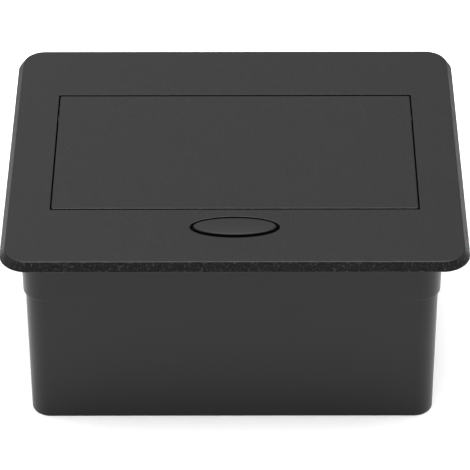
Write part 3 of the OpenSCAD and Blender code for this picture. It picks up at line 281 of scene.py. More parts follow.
def inside(points, loop):
    """Which points lie inside a closed loop: those whose ray to the right crosses it an odd number of
    times."""
    start, end = loop, np.roll(loop, -1, axis=0)
    x, y = points[:, 0, None], points[:, 1, None]
    crosses = (start[:, 1] > y) != (end[:, 1] > y)
    rise = np.where(end[:, 1] == start[:, 1], 1, end[:, 1] - start[:, 1])
    at = start[:, 0] + (y - start[:, 1]) / rise * (end[:, 0] - start[:, 0])
    return (np.sum(crosses & (x < at), axis=1) % 2) == 1


def fill(outline, *holes):
    """A flat face between rings of points: a triangulation that keeps the rings' edges, less the triangles
    whose middles lie outside the outline or inside a hole."""
    rings = [outline, *holes]
    points = np.concatenate(rings)
    flat = points[:, :2] * MILLIMETRES
    sizes = [len(ring) for ring in rings]
    starts = np.concatenate([[0], np.cumsum(sizes)[:-1]])
    edges = np.concatenate([
        np.stack([np.arange(n), np.roll(np.arange(n), -1)], axis=1) + s for n, s in zip(sizes, starts)
    ])
    found = delaunay_2d_cdt(flat.tolist(), edges.tolist(), [], FILL_WHOLE, FILL_TOLERANCE)
    _, _, faces, origins, _, _ = found
    first = np.array([sources[0] for sources in origins])
    triangles = first[np.array(faces)]
    middles = flat[triangles].mean(axis=1)
    keep = inside(middles, outline[:, :2] * MILLIMETRES)
    for hole in holes:
        keep &= ~inside(middles, hole[:, :2] * MILLIMETRES)
    return points, triangles[keep]


def cap(ring):
    """A fan of triangles from a ring to its middle."""
    around = len(ring)
    index = np.arange(around)
    points = np.concatenate([ring, ring.mean(axis=0)[None]])
    return points, np.stack([index, np.roll(index, -1), np.full(around, around)], axis=1)


def tube(path, out, radius):
    """A round wire: circles of the given radius square to the path, in the plane of the out direction and
    of its cross product with the path's direction, closed at both ends."""
    along = np.gradient(path, axis=0)
    along /= np.linalg.norm(along, axis=1, keepdims=True)
    out = out - along * np.sum(out * along, axis=1, keepdims=True)
    out /= np.linalg.norm(out, axis=1, keepdims=True)
    over = np.cross(along, out)
    angle = np.linspace(0, 2 * math.pi, WIRE_SIDES, endpoint=False)[None, :, None]
    rings = path[:, None] + radius * (np.cos(angle) * out[:, None] + np.sin(angle) * over[:, None])
    return [stitch(rings), cap(rings[0]), cap(rings[-1])]


# Pieces from surfaces


def merge(mesh, outward):
    """Joins points that coincide, and turns the faces of a closed surface outwards."""
    work = bmesh.new()
    work.from_mesh(mesh)
    bmesh.ops.remove_doubles(work, verts=work.verts, dist=MERGE_DISTANCE)
    if outward:
        bmesh.ops.recalc_face_normals(work, faces=work.faces)
    work.to_mesh(mesh)
    work.free()


def dress(piece, body, nodes, finish):
    """Lets a new piece ride on a body, stand for CAD nodes and take their finish."""
    piece.data.materials.clear()
    piece.data.materials.append(finish)
    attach(piece, body)
    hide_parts(*nodes)


def show(name, mesh):
    """Puts a mesh into the scene with smooth faces and its sharp edges marked."""
    mesh.polygons.foreach_set("use_smooth", np.ones(len(mesh.polygons), bool))
    mesh.set_sharp_from_angle(angle=SMOOTH_ANGLE)
    piece = bpy.data.objects.new(name, mesh)
    bpy.context.scene.collection.objects.link(piece)
    return piece


def even_normals(piece, keep_sharp):
    """Lets the shading of a piece follow its large faces."""
    normals = piece.modifiers.new("normals", "WEIGHTED_NORMAL")
    normals.keep_sharp = keep_sharp


def new_piece(name, surfaces):
    """One object at the origin from a list of surfaces, each a pair of points and faces."""
    counts = np.cumsum([0] + [len(spots) for spots, _ in surfaces])
    points = np.concatenate([spots for spots, _ in surfaces])
    faces = []
    for start, (_, part) in zip(counts, surfaces):
        faces += (part + start).tolist()
    mesh = bpy.data.meshes.new(name)
    mesh.from_pydata(points.tolist(), [], faces)
    merge(mesh, outward=True)
    piece = show(name, mesh)
    even_normals(piece, keep_sharp=True)
    return piece


def foot_edges(mesh, box, corner, height):
    """Which edges lie on the outline of a round-cornered block at a height: their ends lie no less than the
    corner's radius away from the block's core."""
    spots = np.empty(len(mesh.vertices) * 3)
    mesh.vertices.foreach_get("co", spots)
    spots = spots.reshape(-1, 3)
    low, high = np.array(box)
    over = np.abs(spots - (low + high) / 2) - (high - low) / 2 + corner
    outer = np.linalg.norm(np.maximum(over[:, :2], 0), axis=1) > corner - OUTLINE_TOLERANCE
    level = np.abs(spots[:, 2] - height) < OUTLINE_TOLERANCE
    ends = np.empty(len(mesh.edges) * 2, int)
    mesh.edges.foreach_get("vertices", ends)
    return (outer & level)[ends].reshape(-1, 2).all(axis=1)


def round_foot(piece, marked, width):
    """Rounds the marked edges of a piece, before its other edges are eased."""
    weights = piece.data.attributes.new("bevel_weight_edge", "FLOAT", "EDGE")
    weights.data.foreach_set("value", marked.astype(float))
    rounding = piece.modifiers.new("foot", "BEVEL")
    rounding.width = width
    rounding.segments = FILLET_STEPS
    rounding.limit_method = "WEIGHT"
    piece.modifiers.move(len(piece.modifiers) - 1, 0)


def eased_copy(node, name, width):
    """A copy of a CAD node with its flat faces joined up again, its slivers taken out and its edges eased
    by a narrow bevel."""
    mesh = frame["nodes"][node].data.copy()
    mesh.name = name
    merge(mesh, outward=False)
    work = bmesh.new()
    work.from_mesh(mesh)
    bmesh.ops.dissolve_limit(work, angle_limit=FLAT_ANGLE, verts=work.verts, edges=work.edges)
    bmesh.ops.dissolve_degenerate(work, dist=SHORT_EDGE, edges=work.edges)
    loose = [edge for edge in work.edges if edge.is_wire]
    bmesh.ops.delete(work, geom=loose, context="EDGES")
    work.to_mesh(mesh)
    work.free()
    piece = show(name, mesh)
    ease = piece.modifiers.new("ease", "BEVEL")
    ease.width = width
    ease.segments = EASE_STEPS
    ease.limit_method = "ANGLE"
    ease.angle_limit = SMOOTH_ANGLE
    ease.use_clamp_overlap = True
    weld = piece.modifiers.new("weld", "WELD")
    weld.merge_threshold = WELD_DISTANCE
    even_normals(piece, keep_sharp=False)
    return piece


# Finishes


class Wired:
    """A socket of a material: sums on it add Math nodes, and any other node comes from its add method."""

    def __init__(self, tree, socket=None):
        self.tree = tree
        self.socket = socket

    def add(self, kind, settings=None, inputs=None, output=0):
        """A new node of a kind, with its settings made first and then its sockets set or linked."""
        node = self.tree.nodes.new(kind)
        for name, value in (settings or {}).items():
            setattr(node, name, value)
        for name, value in (inputs or {}).items():
            if isinstance(value, Wired):
                self.tree.links.new(value.socket, node.inputs[name])
            else:
                node.inputs[name].default_value = value
        return Wired(self.tree, node.outputs[output])

    def sum(self, operation, first, second):
        """A Math node on two values."""
        return self.add("ShaderNodeMath", {"operation": operation}, {0: first, 1: second})

    def __add__(self, other):
        return self.sum("ADD", self, other)

    def __radd__(self, other):
        return self.sum("ADD", other, self)

    def __sub__(self, other):
        return self.sum("SUBTRACT", self, other)

    def __rsub__(self, other):
        return self.sum("SUBTRACT", other, self)

    def __mul__(self, other):
        return self.sum("MULTIPLY", self, other)

    def __rmul__(self, other):
        return self.sum("MULTIPLY", other, self)

    def clamp(self, low=0.0, high=1.0):
        """The value held between two limits."""
        return self.sum("MINIMUM", self.sum("MAXIMUM", self, low), high)


def new_finish(name, constants):
    """A material with a Principled shader whose constant sockets are set, and the Object coordinates that
    its nodes start from."""
    material = bpy.data.materials.new(name)
    material.use_nodes = True
    shader = material.node_tree.nodes["Principled BSDF"]
    for socket, value in constants.items():
        shader.inputs[socket].default_value = value
    place = Wired(material.node_tree).add("ShaderNodeTexCoord", output="Object")
    return material, place, shader


def link(shader, **fields):
    """Feeds varying values into a shader's sockets."""
    for name, value in fields.items():
        value.tree.links.new(value.socket, shader.inputs[name.replace("_", " ")])


def noise(place, scale, detail=2.0, rough=0.5, stretch=None):
    """Noise over Object coordinates: scale is in features a metre, and stretch squeezes it along an axis."""
    if stretch is not None:
        place = place.add("ShaderNodeMapping", inputs={"Vector": place, "Scale": stretch})
    inputs = {"Vector": place, "Scale": scale, "Detail": detail, "Roughness": rough}
    return place.add("ShaderNodeTexNoise", inputs=inputs, output="Fac")


def opaque(tone):
    """A colour as a shader socket takes it: a linked value as it is, and three numbers with full alpha."""
    return tone if isinstance(tone, Wired) else (*tone, 1.0)


def shade(value, dark, light):
    """A colour between two colours, by a value."""
    inputs = {MIX_FACTOR: value, MIX_FIRST: opaque(dark), MIX_SECOND: opaque(light)}
    return value.add("ShaderNodeMix", {"data_type": "RGBA"}, inputs, MIX_RESULT)


def bump(height, strength, distance):
    """A surface direction from a height."""
    inputs = {"Height": height, "Strength": strength, "Distance": distance}
    return height.add("ShaderNodeBump", inputs=inputs)


def scaled(tone, factor):
    """A colour made lighter or darker."""
    return tuple(min(1.0, part * factor) for part in tone)


def mingle(first, second, part):
    """Two values added: the first times a part of one, and the second times the rest."""
    return first * part + second * (1 - part)


def varied(base, *swings):
    """A base plus other values, each times its own swing."""
    return sum((value * swing for value, swing in swings), base)


def spread(value, low, gain):
    """How far a value lies above a low level, times a gain."""
    return (value - low) * gain


def along(direction, axis):
    """How far a direction points along an axis: their dot product."""
    sides = {0: direction, 1: axis}
    return direction.add("ShaderNodeVectorMath", {"operation": "DOT_PRODUCT"}, sides, "Value")


def grained_paint(tone, rim_low, rim_high):
    """Matt black paint with a fine even grain: two sizes of grain in the height, the tone and the gloss.
    Between two heights, on the rims, it is mottled."""
    material, place, shader = new_finish("grained_black_paint", {"IOR": 1.386})
    fine = noise(place, scale=2200, detail=2.0, rough=0.6)
    coarse = noise(place, scale=1200, detail=1.0)
    cloud = noise(place, scale=14, detail=3.0)
    grain = mingle(fine, coarse, part=0.45)
    height = place.add("ShaderNodeSeparateXYZ", inputs={"Vector": place}, output="Z")
    below = ((rim_high - height) * RIM_SHARPNESS).clamp()
    above = spread(height, rim_low, RIM_SHARPNESS).clamp()
    flecks = spread(noise(place, scale=1400, detail=1.0), low=0.565, gain=8.0).clamp()
    plain = shade(spread(grain, low=0.3, gain=2.6), scaled(tone, 0.4), scaled(tone, 1.75))
    link(
        shader,
        Base_Color=shade(flecks * below * above, plain, scaled(tone, 9.0)),
        Roughness=varied(0.32, (grain, 0.16), (cloud, 0.06)),
        Normal=bump(grain, strength=1.0, distance=0.00018),
    )
    return material


def satin_plastic(name, tone, index, rough, grain_scale, depth):
    """Moulded black plastic: a spark-worn mould leaves a fine low grain, and the gloss varies a little."""
    material, place, shader = new_finish(name, {"IOR": index})
    grain = noise(place, grain_scale, detail=2.0, rough=0.55)
    flow = noise(place, scale=22, detail=3.0, rough=0.5, stretch=(1.0, 1.0, 0.35))
    link(
        shader,
        Base_Color=shade(mingle(flow, grain, part=0.6), scaled(tone, 0.7), scaled(tone, 1.35)),
        Roughness=varied(rough, (grain, 0.08), (flow, 0.08)),
        Normal=bump(grain, strength=depth, distance=0.00005),
    )
    return material


def bright_metal(name, tone, rough):
    """Metal with fine drawn lines: noise stretched along one axis in the tone, the gloss and the height."""
    material, place, shader = new_finish(name, {"Metallic": 1.0})
    lines = noise(place, scale=900, detail=3.0, rough=0.6, stretch=(0.12, 1.0, 1.0))
    smear = noise(place, scale=160, detail=2.0)
    link(
        shader,
        Base_Color=shade(mingle(lines, smear, part=0.6), scaled(tone, 0.78), scaled(tone, 1.1)),
        Roughness=varied(rough, (lines, 0.14), (smear, 0.12)),
        Normal=bump(lines, strength=0.12, distance=0.00003),
    )
    return material


def nylon(name, tone):
    """Plain moulded nylon: a soft sheen with faint flow marks."""
    milky = {"Subsurface Weight": 0.08, "Subsurface Radius": (0.001, 0.001, 0.001)}
    material, place, shader = new_finish(name, milky)
    flow = noise(place, scale=90, detail=3.0)
    grain = noise(place, scale=3200, detail=1.0)
    link(
        shader,
        Base_Color=shade(flow, scaled(tone, 0.88), scaled(tone, 1.06)),
        Roughness=varied(0.32, (flow, 0.12), (grain, 0.08)),
        Normal=bump(grain, strength=0.15, distance=0.00003),
    )
    return material


def lacquered_board(tone):
    """Green lacquer over copper tracks: cells of a square pattern lighten the tone and stand up a little."""
    material, place, shader = new_finish("lacquered_board", {"Coat Weight": 0.6, "Coat Roughness": 0.12})
    pattern = {"distance": "MANHATTAN", "feature": "F1"}
    cells = place.add("ShaderNodeTexVoronoi", pattern, {"Vector": place, "Scale": 420}, "Distance")
    line = spread(cells, low=0.42, gain=14).clamp()
    link(
        shader,
        Base_Color=shade(line, tone, scaled(tone, 2.1)),
        Roughness=varied(0.38, (line, 0.1)),
        Normal=bump(line, strength=0.4, distance=0.00004),
    )
    return material


def soft_rubber(tone):
    """Matt rubber with a dusty bloom and a fine skin."""
    material, place, shader = new_finish("soft_rubber", {"IOR": 1.45})
    bloom = noise(place, scale=130, detail=4.0)
    skin = noise(place, scale=2400, detail=2.0)
    link(
        shader,
        Base_Color=shade(bloom, scaled(tone, 0.7), scaled(tone, 1.9)),
        Roughness=varied(0.68, (bloom, 0.15)),
        Normal=bump(skin, strength=0.3, distance=0.00006),
    )
    return material


def finishes():
    """The finishes by material slot, made once."""
    tones = bpy.context.scene.desk_box_colours
    names = {
        "black_aluminium": "grained_black_paint", "black_plastic": "satin_black_plastic",
        "button_plastic": "matt_button_plastic", "steel": "bright_steel", "white_plastic": "white_nylon",
        "springs": "shade_darkened_spring_steel", "grey_plastic": "grey_nylon", "board": "lacquered_board",
        "black_steel": "shade_darkened_latch_steel", "brass": "bright_brass", "rubber": "soft_rubber",
    }
    if names["rubber"] not in bpy.data.materials:
        panel_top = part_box("top_panel")[1].z
        panel_under = panel_top - bpy.context.scene.desk_box_sizes.panel_thickness
        grained_paint(tuple(tones.paint), panel_under, panel_top - RIM_DROP)
        satin_plastic(
            names["black_plastic"], tuple(tones.plastic),
            index=1.335, rough=0.27, grain_scale=2800, depth=0.16,
        )
        satin_plastic(
            names["button_plastic"], tuple(tones.button),
            index=1.405, rough=0.42, grain_scale=3000, depth=0.25,
        )
        bright_metal(names["steel"], tuple(tones.steel), rough=0.16)
        bright_metal(names["brass"], tuple(tones.brass), rough=0.18)
        # Spring steel darkened as painted shade
        bright_metal(names["springs"], tuple(tones.spring), rough=0.3)
        # Latch lever steel darkened as painted shade
        bright_metal(names["black_steel"], tuple(tones.latch_shade), rough=0.34)
        nylon(names["white_plastic"], tuple(tones.white))
        nylon(names["grey_plastic"], tuple(tones.grey))
        lacquered_board(tuple(tones.board))
        soft_rubber(tuple(tones.rubber))
    return {slot: bpy.data.materials[name] for slot, name in names.items()}


# Pieces


def boss_spots(screws, head):
    """Middles of four screws, a head's radius in from the corners of their box."""
    low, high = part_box(screws)
    across = high.x - head
    return [(side * across, y) for side in (-1, 1) for y in (low.y + head, high.y - head)]


def bossed(spots, radius, hole, top, low, depth):
    """Screw bosses under a plate: a wall down from the plate, a flat ring, and a blind hole back up."""
    walls = []
    mouths = []
    for spot in spots:
        radii = np.array([radius, radius, hole, hole])
        heights = np.array([top, low, low, depth])
        rings = oval_rings(radii, radii, spot, heights, ROUND_STEPS)
        walls += [stitch(rings), cap(rings[-1])]
        mouths.append(rings[0])
    return walls, mouths


class DESKBOX_OT_panel(bpy.types.Operator):
    """Makes the panel: a bevelled rim round a rounded rectangle, the lid opening and the oval button hole"""

    bl_idname = "desk_box.panel"
    bl_label = "Panel"

    boss_radius = 0.0028
    boss_hole = 0.00155
    boss_head = 0.0035
    screw_depth = 0.0015
    under_flat = 0.002
    top_flat = 0.004
    opening_flat = 0.0004
    hole_flat = 0.0006

    def execute(self, context):
        size = context.scene.desk_box_sizes
        low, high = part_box("top_panel")
        lid_low, lid_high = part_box("lid_plate")
        cap_low, cap_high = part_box("button_cap")
        collar_low, collar_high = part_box("body_frame")
        top = high.z
        under = top - size.panel_thickness
        ceiling = under + size.recess
        profile = fillet(
            [
                (self.under_flat, under), (0, under), (0, top - size.bevel_down),
                (size.bevel_in, top), (self.top_flat, top),
            ],
            [size.bevel_round, size.bevel_round, size.bevel_top_round],
        )
        inset, height = profile.T
        rim = corner_rings(high.x - inset, low.y + inset, high.y - inset, size.panel_corner - inset, height)
        recess = corner_rings(
            (collar_high.x - collar_low.x) / 2 + size.recess_slip,
            collar_low.y - size.recess_slip, collar_high.y + size.recess_slip,
            size.collar_corner + size.recess_slip, np.array([ceiling, under]),
        )
        recess[..., 0] += (collar_low.x + collar_high.x) / 2
        outer = np.concatenate([recess, rim])
        lip = fillet([(-self.opening_flat, top), (0, top), (0, ceiling)], [size.opening_round])
        opening = corner_rings(
            lid_high.x + size.gap_side - lip[:, 0],
            lid_low.y - size.gap_front + lip[:, 0],
            lid_high.y + size.gap_rear - lip[:, 0] + (top - lip[:, 1]) * size.rear_lean,
            size.opening_corner - lip[:, 0],
            lip[:, 1],
        )
        edge = fillet([(-self.hole_flat, top), (0, top), (0, ceiling)], [size.hole_round])
        centre = ((cap_low.x + cap_high.x) / 2, (cap_low.y + cap_high.y) / 2)
        hole = oval_rings(
            cap_high.x - centre[0] + size.button_gap - edge[:, 0],
            cap_high.y - centre[1] + size.button_gap - edge[:, 0],
            centre, edge[:, 1],
        )
        walls, mouths = bossed(
            boss_spots("panel_screws", self.boss_head), self.boss_radius, self.boss_hole,
            ceiling, low.z, ceiling + self.screw_depth,
        )
        panel = new_piece("panel_shell", [
            stitch(outer), stitch(opening), stitch(hole), *walls,
            fill(outer[-1], opening[0], hole[0]),
            fill(outer[0], opening[-1], hole[-1], *mouths),
        ])
        dress(panel, "housing", ["top_panel"], finishes()["black_aluminium"])
        return {"FINISHED"}


class DESKBOX_OT_lid(bpy.types.Operator):
    """Makes the lid: a plate with rounded top edges and four screw bosses under it"""

    bl_idname = "desk_box.lid"
    bl_label = "Lid"

    boss_radius = 0.0026
    boss_hole = 0.00125
    boss_head = 0.0032
    screw_depth = 0.0014
    low_round = 0.0002
    flat = 0.00075

    def execute(self, context):
        size = context.scene.desk_box_sizes
        low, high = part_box("lid_plate")
        top = high.z
        under = top - size.lid_thickness
        profile = fillet(
            [(self.flat, under), (0, under), (0, top), (self.flat, top)], [self.low_round, size.lid_round]
        )
        inset, height = profile.T
        rim = corner_rings(high.x - inset, low.y + inset, high.y - inset, size.lid_corner - inset, height)
        walls, mouths = bossed(
            boss_spots("lid_screws", self.boss_head), self.boss_radius, self.boss_hole,
            under, low.z, under + self.screw_depth,
        )
        lid = new_piece("lid_shell", [stitch(rim), *walls, fill(rim[-1]), fill(rim[0], *mouths)])
        dress(lid, "socket_module", ["lid_plate"], finishes()["black_aluminium"])
        return {"FINISHED"}


class DESKBOX_OT_button(bpy.types.Operator):
    """Makes the button: ovals up its side, round its edge and in over a low crown to its middle"""

    bl_idname = "desk_box.button"
    bl_label = "Button"

    crown_rings = 12
    crown_start = 0.99
    crown_end = 0.02

    def execute(self, context):
        size = context.scene.desk_box_sizes
        low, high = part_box("button_cap")
        centre = ((low.x + high.x) / 2, (low.y + high.y) / 2)
        reach_x, reach_y = high.x - centre[0], high.y - centre[1]
        shoulder = high.z - size.button_crown
        slope_in, slope_down = size.button_slope_in, size.button_slope_down
        side = fillet(
            [(0, low.z), (0, shoulder - slope_down), (slope_in, shoulder), (slope_in * 2, shoulder)],
            [size.button_round, size.button_round],
        )[:-1]
        share_in = np.linspace(self.crown_start, self.crown_end, self.crown_rings)
        edge = side[-1, 0]
        inset_x = np.concatenate([side[:, 0], reach_x - (reach_x - edge) * share_in])
        inset_y = np.concatenate([side[:, 0], reach_y - (reach_y - edge) * share_in])
        height = np.concatenate([side[:, 1], shoulder + size.button_crown * (1 - share_in**2)])
        rings = oval_rings(reach_x - inset_x, reach_y - inset_y, centre, height)
        button = new_piece("oval_button", [stitch(rings), cap(rings[0]), cap(rings[-1])])
        dress(button, "release_button", ["button_cap"], finishes()["button_plastic"])
        return {"FINISHED"}


class DESKBOX_OT_body(bpy.types.Operator):
    """Makes the collar and the box from the CAD solids, with eased edges"""

    bl_idname = "desk_box.body"
    bl_label = "Collar and box"

    ease = 0.00025

    def execute(self, context):
        size = context.scene.desk_box_sizes
        plastic = finishes()["black_plastic"]
        collar_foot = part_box("top_panel")[1].z - size.panel_thickness - size.collar_depth
        for node, name, corner, height in (
            ("body_frame", "collar_frame", size.collar_corner, collar_foot),
            ("lower_box", "desk_box_tub", size.box_corner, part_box("lower_box")[0].z),
        ):
            piece = eased_copy(node, name, self.ease)
            round_foot(piece, foot_edges(piece.data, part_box(node), corner, height), size.foot_round)
            dress(piece, "housing", [node], plastic)
        return {"FINISHED"}


class DESKBOX_OT_module(bpy.types.Operator):
    """Makes the tilting module's visible solids with eased edges"""

    bl_idname = "desk_box.module"
    bl_label = "Socket module"

    pieces = {
        "module_frame": ("module_cheeks", 0.0002), "socket_plate": ("socket_face", 0.0002),
        "rear_cover": ("module_cover", 0.0002), "socket_well_left": ("left_socket_cup", 0.00025),
        "socket_well_right": ("right_socket_cup", 0.00025), "network_jack": ("data_jack", 0.00015),
    }

    def execute(self, context):
        for node, (name, width) in self.pieces.items():
            dress(eased_copy(node, name, width), "socket_module", [node], finishes()[SLOT_OF[node]])
        return {"FINISHED"}


def joint(name):
    """The frame's row for a joint."""
    return next(row for row in frame["joints"] if row["name"] == name)


class DESKBOX_OT_springs(bpy.types.Operator):
    """Winds the springs: a torsion spring on each hinge pin, two under the button and one under the latch"""

    bl_idname = "desk_box.springs"
    bl_label = "Springs"

    lift_wire = 0.0005
    lift_coil = 0.0032
    lift_turns = 3
    front_leg = 0.012
    back_leg = 0.006
    front_rise = 0.0038
    ledge = (0.0041, 0.0021)
    ledge_gap = 0.0001
    button_wire = 0.0003
    button_coil = 0.0026
    button_turns = 7
    latch_wire = 0.00025
    latch_coil = 0.0017
    latch_turns = 5
    latch_keep = 0.41
    dead_turn = 0.8
    dead_rise = 2.1
    leg_steps = 7

    def lift_spring(self, side):
        """Turns about the hinge axis that step along X, with a straight leg off each end along its
        tangent. The back leg starts where its tangent passes just under the edge of the ear's ledge."""
        node = "lift_spring_right" if side > 0 else "lift_spring_left"
        low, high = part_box(node)
        hinge = np.array(joint("lid_tilt")["pos_m"])
        reach = sorted([abs(low.x), abs(high.x)])
        inner, outer = reach[0] + self.lift_wire, reach[1] - self.lift_wire
        reach_to_ledge = self.lift_coil + self.lift_wire + self.ledge_gap
        start = math.atan2(self.ledge[1], self.ledge[0]) + math.acos(reach_to_ledge / math.hypot(*self.ledge))
        stop = 2 * math.pi * self.lift_turns + math.pi
        stop -= math.asin(self.front_rise / math.hypot(self.lift_coil, self.front_leg))
        stop -= math.atan2(self.front_leg, self.lift_coil)
        turn = np.linspace(start, stop, self.lift_turns * WIRE_STEPS_PER_TURN)
        leg_share = np.linspace(0, 1, self.leg_steps + 1)
        turn_all = np.concatenate([np.full(self.leg_steps, start), turn, np.full(self.leg_steps, stop)])
        leg = np.concatenate([
            -self.back_leg * (1 - leg_share[:-1]), np.zeros(turn.size), self.front_leg * leg_share[1:]
        ])
        x = np.interp(turn_all, [start, stop], [outer, inner])
        out = np.stack([np.zeros(x.size), np.cos(turn_all), np.sin(turn_all)], axis=1)
        tangent = np.stack([np.zeros(x.size), -np.sin(turn_all), np.cos(turn_all)], axis=1)
        path = np.array([0, hinge[1], hinge[2]]) + self.lift_coil * out + leg[:, None] * tangent
        path[:, 0] = side * x
        spring = new_piece(node.replace("lift", "torsion"), tube(path, out, self.lift_wire))
        spring.data.materials.append(finishes()["springs"])
        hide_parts(node)
        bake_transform(spring)

    def coil(self, foot, height, wire, radius, turns):
        """Turns about an upright axis: flat for most of the first and last turn, and rising evenly
        between."""
        turn = np.linspace(0, turns, turns * WIRE_STEPS_PER_TURN)
        knots = [0, self.dead_turn, turns - self.dead_turn, turns]
        end_rise = self.dead_rise * wire
        rise = np.interp(turn, knots, [wire, end_rise, height - end_rise, height - wire])
        angle = 2 * math.pi * turn
        out = np.stack([np.cos(angle), np.sin(angle), np.zeros(angle.size)], axis=1)
        path = np.array(foot) + radius * out
        path[:, 2] += rise
        return tube(path, out, wire)

    def execute(self, context):
        for side in (-1, 1):
            self.lift_spring(side)
        wire = finishes()["springs"]
        low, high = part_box("button_springs")
        across = high.x - self.button_coil - self.button_wire
        middle = (low.y + high.y) / 2
        tall = high.z - low.z
        surfaces = []
        for side in (-1, 1):
            foot = (side * across, middle, low.z)
            surfaces += self.coil(foot, tall, self.button_wire, self.button_coil, self.button_turns)
        springs = new_piece("button_return_springs", surfaces)
        dress(springs, "housing", ["button_springs"], wire)
        press = joint("button_press")
        1 - press["range_m"][1] / tall
        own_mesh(springs)
        low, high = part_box("latch_spring")
        foot = ((low.x + high.x) / 2, (low.y + high.y) / 2, low.z)
        surfaces = self.coil(foot, high.z - low.z, self.latch_wire, self.latch_coil, self.latch_turns)
        spring = new_piece("latch_return_spring", surfaces)
        dress(spring, "housing", ["latch_spring"], wire)
        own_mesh(spring)
        return {"FINISHED"}


class DESKBOX_OT_finishes(bpy.types.Operator):
    """Gives every CAD solid that still shows the finish of its material slot"""

    bl_idname = "desk_box.finishes"
    bl_label = "Finishes"

    def execute(self, context):
        made = finishes()
        for name, node in frame["nodes"].items():
            for place in node.material_slots:
                place.material = made[LOOKS_LIKE.get(name, SLOT_OF[name])]
        return {"FINISHED"}


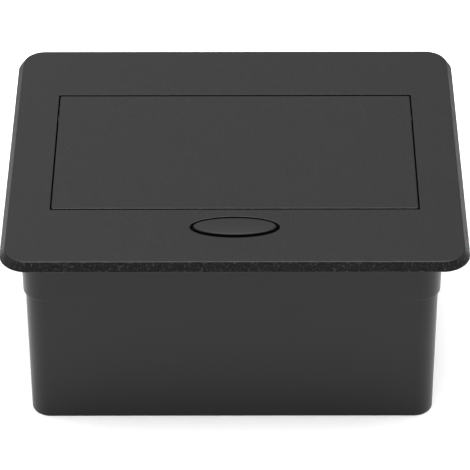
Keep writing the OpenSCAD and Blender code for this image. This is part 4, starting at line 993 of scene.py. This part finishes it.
class DESKBOX_OT_stage(bpy.types.Operator):
    """Sets the pale floor, the white room, the soft lamp and the camera"""

    bl_idname = "desk_box.stage"
    bl_label = "Stage"

    floor_rough = 0.9
    sensor_width = 36

    def floor(self, stage, tone):
        """A flat square at the height of the base: brighter and glowing round the box as painted light, darker
        further away as painted shade.
        """
        half = stage.floor_half
        corner = np.array([(-1, -1), (1, -1), (1, 1), (-1, 1)]) * half
        mesh = bpy.data.meshes.new("floor")
        mesh.from_pydata(np.column_stack([corner, np.zeros(4)]).tolist(), [], [(0, 1, 2, 3)])
        floor = bpy.data.objects.new("floor", mesh)
        bpy.context.scene.collection.objects.link(floor)
        matt = {
            "Roughness": self.floor_rough, "Specular IOR Level": 0.0, "Emission Strength": stage.painted_pool_glow
        }
        material, place, shader = new_finish("pale_floor", matt)
        # Painted light: within the painted pool the floor is brighter and glows, lifting the box's shadow; beyond
        # the fade its colour is darker as painted shade
        away = place.add("ShaderNodeVectorMath", {"operation": "LENGTH"}, {0: place}, "Value")
        far = spread(away, stage.painted_pool_half, 1 / stage.painted_pool_fade).clamp()
        link(
            shader,
            Base_Color=shade(far, tone, scaled(tone, stage.painted_floor_dusk)),
            Emission_Color=shade(far, tone, scaled(tone, 0.0)),
        )
        mesh.materials.append(material)

    def room(self, stage):
        """White light from all round: brighter on the left, darker behind the camera by the square of the
        cosine between a direction and the middle of the shade, and brighter overhead by the square of the
        height above an edge."""
        world = bpy.data.worlds.new("white_room")
        world.use_nodes = True
        bpy.context.scene.world = world
        direction = Wired(world.node_tree).add("ShaderNodeTexCoord", output="Generated")
        back = (0.0, -math.cos(stage.shade_height), math.sin(stage.shade_height))
        behind = along(direction, back).clamp()
        left = along(direction, (-1.0, 0.0, 0.0))
        height = along(direction, (0.0, 0.0, 1.0))
        dim = behind * behind * (1 - stage.front_shade)
        above = spread(height, stage.overhead_from, 1 / (1 - stage.overhead_from)).clamp()
        strength = ((1.0 - dim) + left * stage.side_tilt) * stage.sky + above * above * stage.overhead
        ground = world.node_tree.nodes["Background"]
        ground.inputs["Color"].default_value = (1.0, 1.0, 1.0, 1.0)
        world.node_tree.links.new(strength.socket, ground.inputs["Strength"])

    def lamp(self, stage):
        """A square soft lamp that faces the box."""
        data = bpy.data.lights.new("soft_lamp", "AREA")
        data.energy = stage.lamp_power
        data.size = stage.lamp_size
        lamp = bpy.data.objects.new("soft_lamp", data)
        place = Vector((stage.lamp_x, stage.lamp_y, stage.lamp_z))
        lamp.matrix_world = Matrix.Translation(place) @ place.to_track_quat("Z", "Y").to_matrix().to_4x4()
        bpy.context.scene.collection.objects.link(lamp)

    def camera(self, stage):
        """A camera at the photo's place: tipped down from level, then turned and rolled a little."""
        data = bpy.data.cameras.new("camera")
        data.sensor_width = self.sensor_width
        data.lens = stage.lens
        camera = bpy.data.objects.new("camera", data)
        turn = Euler((0, 0, stage.yaw)).to_matrix() @ Euler((math.pi / 2 - stage.pitch, 0, 0)).to_matrix()
        turn = turn @ Euler((0, 0, stage.roll)).to_matrix()
        place = Matrix.Translation((stage.camera_x, stage.camera_y, stage.camera_z))
        camera.matrix_world = place @ turn.to_4x4()
        bpy.context.scene.collection.objects.link(camera)
        bpy.context.scene.camera = camera

    def execute(self, context):
        stage = context.scene.desk_box_stage
        self.floor(stage, tuple(context.scene.desk_box_colours.floor))
        self.room(stage)
        self.lamp(stage)
        self.camera(stage)
        context.scene.view_settings.view_transform = "Standard"
        return {"FINISHED"}


STEPS = (
    DESKBOX_OT_panel, DESKBOX_OT_lid, DESKBOX_OT_button, DESKBOX_OT_body, DESKBOX_OT_module,
    DESKBOX_OT_springs, DESKBOX_OT_finishes, DESKBOX_OT_stage,
)


class DESKBOX_PT_sidebar(bpy.types.Panel):
    """Lists the steps and the values that they use"""

    bl_idname = "DESKBOX_PT_sidebar"
    bl_label = "Desk socket box"
    bl_space_type = "VIEW_3D"
    bl_region_type = "UI"
    bl_category = "Desk box"

    def draw(self, context):
        for step in STEPS:
            self.layout.operator(step.bl_idname)
        for key in GROUPS:
            group = getattr(context.scene, key)
            for name in group.bl_rna.properties.keys():
                if name not in ("rna_type", "name"):
                    self.layout.prop(group, name)


GROUPS = {
    "desk_box_sizes": DeskBoxSizes,
    "desk_box_colours": DeskBoxColours,
    "desk_box_stage": DeskBoxStage,
}


def register():
    """Registers the groups, the operators and the sidebar."""
    for name, group in GROUPS.items():
        bpy.utils.register_class(group)
        setattr(bpy.types.Scene, name, bpy.props.PointerProperty(type=group))
    for step in STEPS:
        bpy.utils.register_class(step)
    bpy.utils.register_class(DESKBOX_PT_sidebar)


def unregister():
    """Takes everything that register added away again."""
    bpy.utils.unregister_class(DESKBOX_PT_sidebar)
    for step in reversed(STEPS):
        bpy.utils.unregister_class(step)
    for name, group in GROUPS.items():
        delattr(bpy.types.Scene, name)
        bpy.utils.unregister_class(group)


def main():
    """Builds the whole part step by step."""
    register()
    bpy.ops.desk_box.panel()
    bpy.ops.desk_box.lid()
    bpy.ops.desk_box.button()
    bpy.ops.desk_box.body()
    bpy.ops.desk_box.module()
    bpy.ops.desk_box.springs()
    bpy.ops.desk_box.finishes()
    bpy.ops.desk_box.stage()


if __name__ == "__main__":
    main()
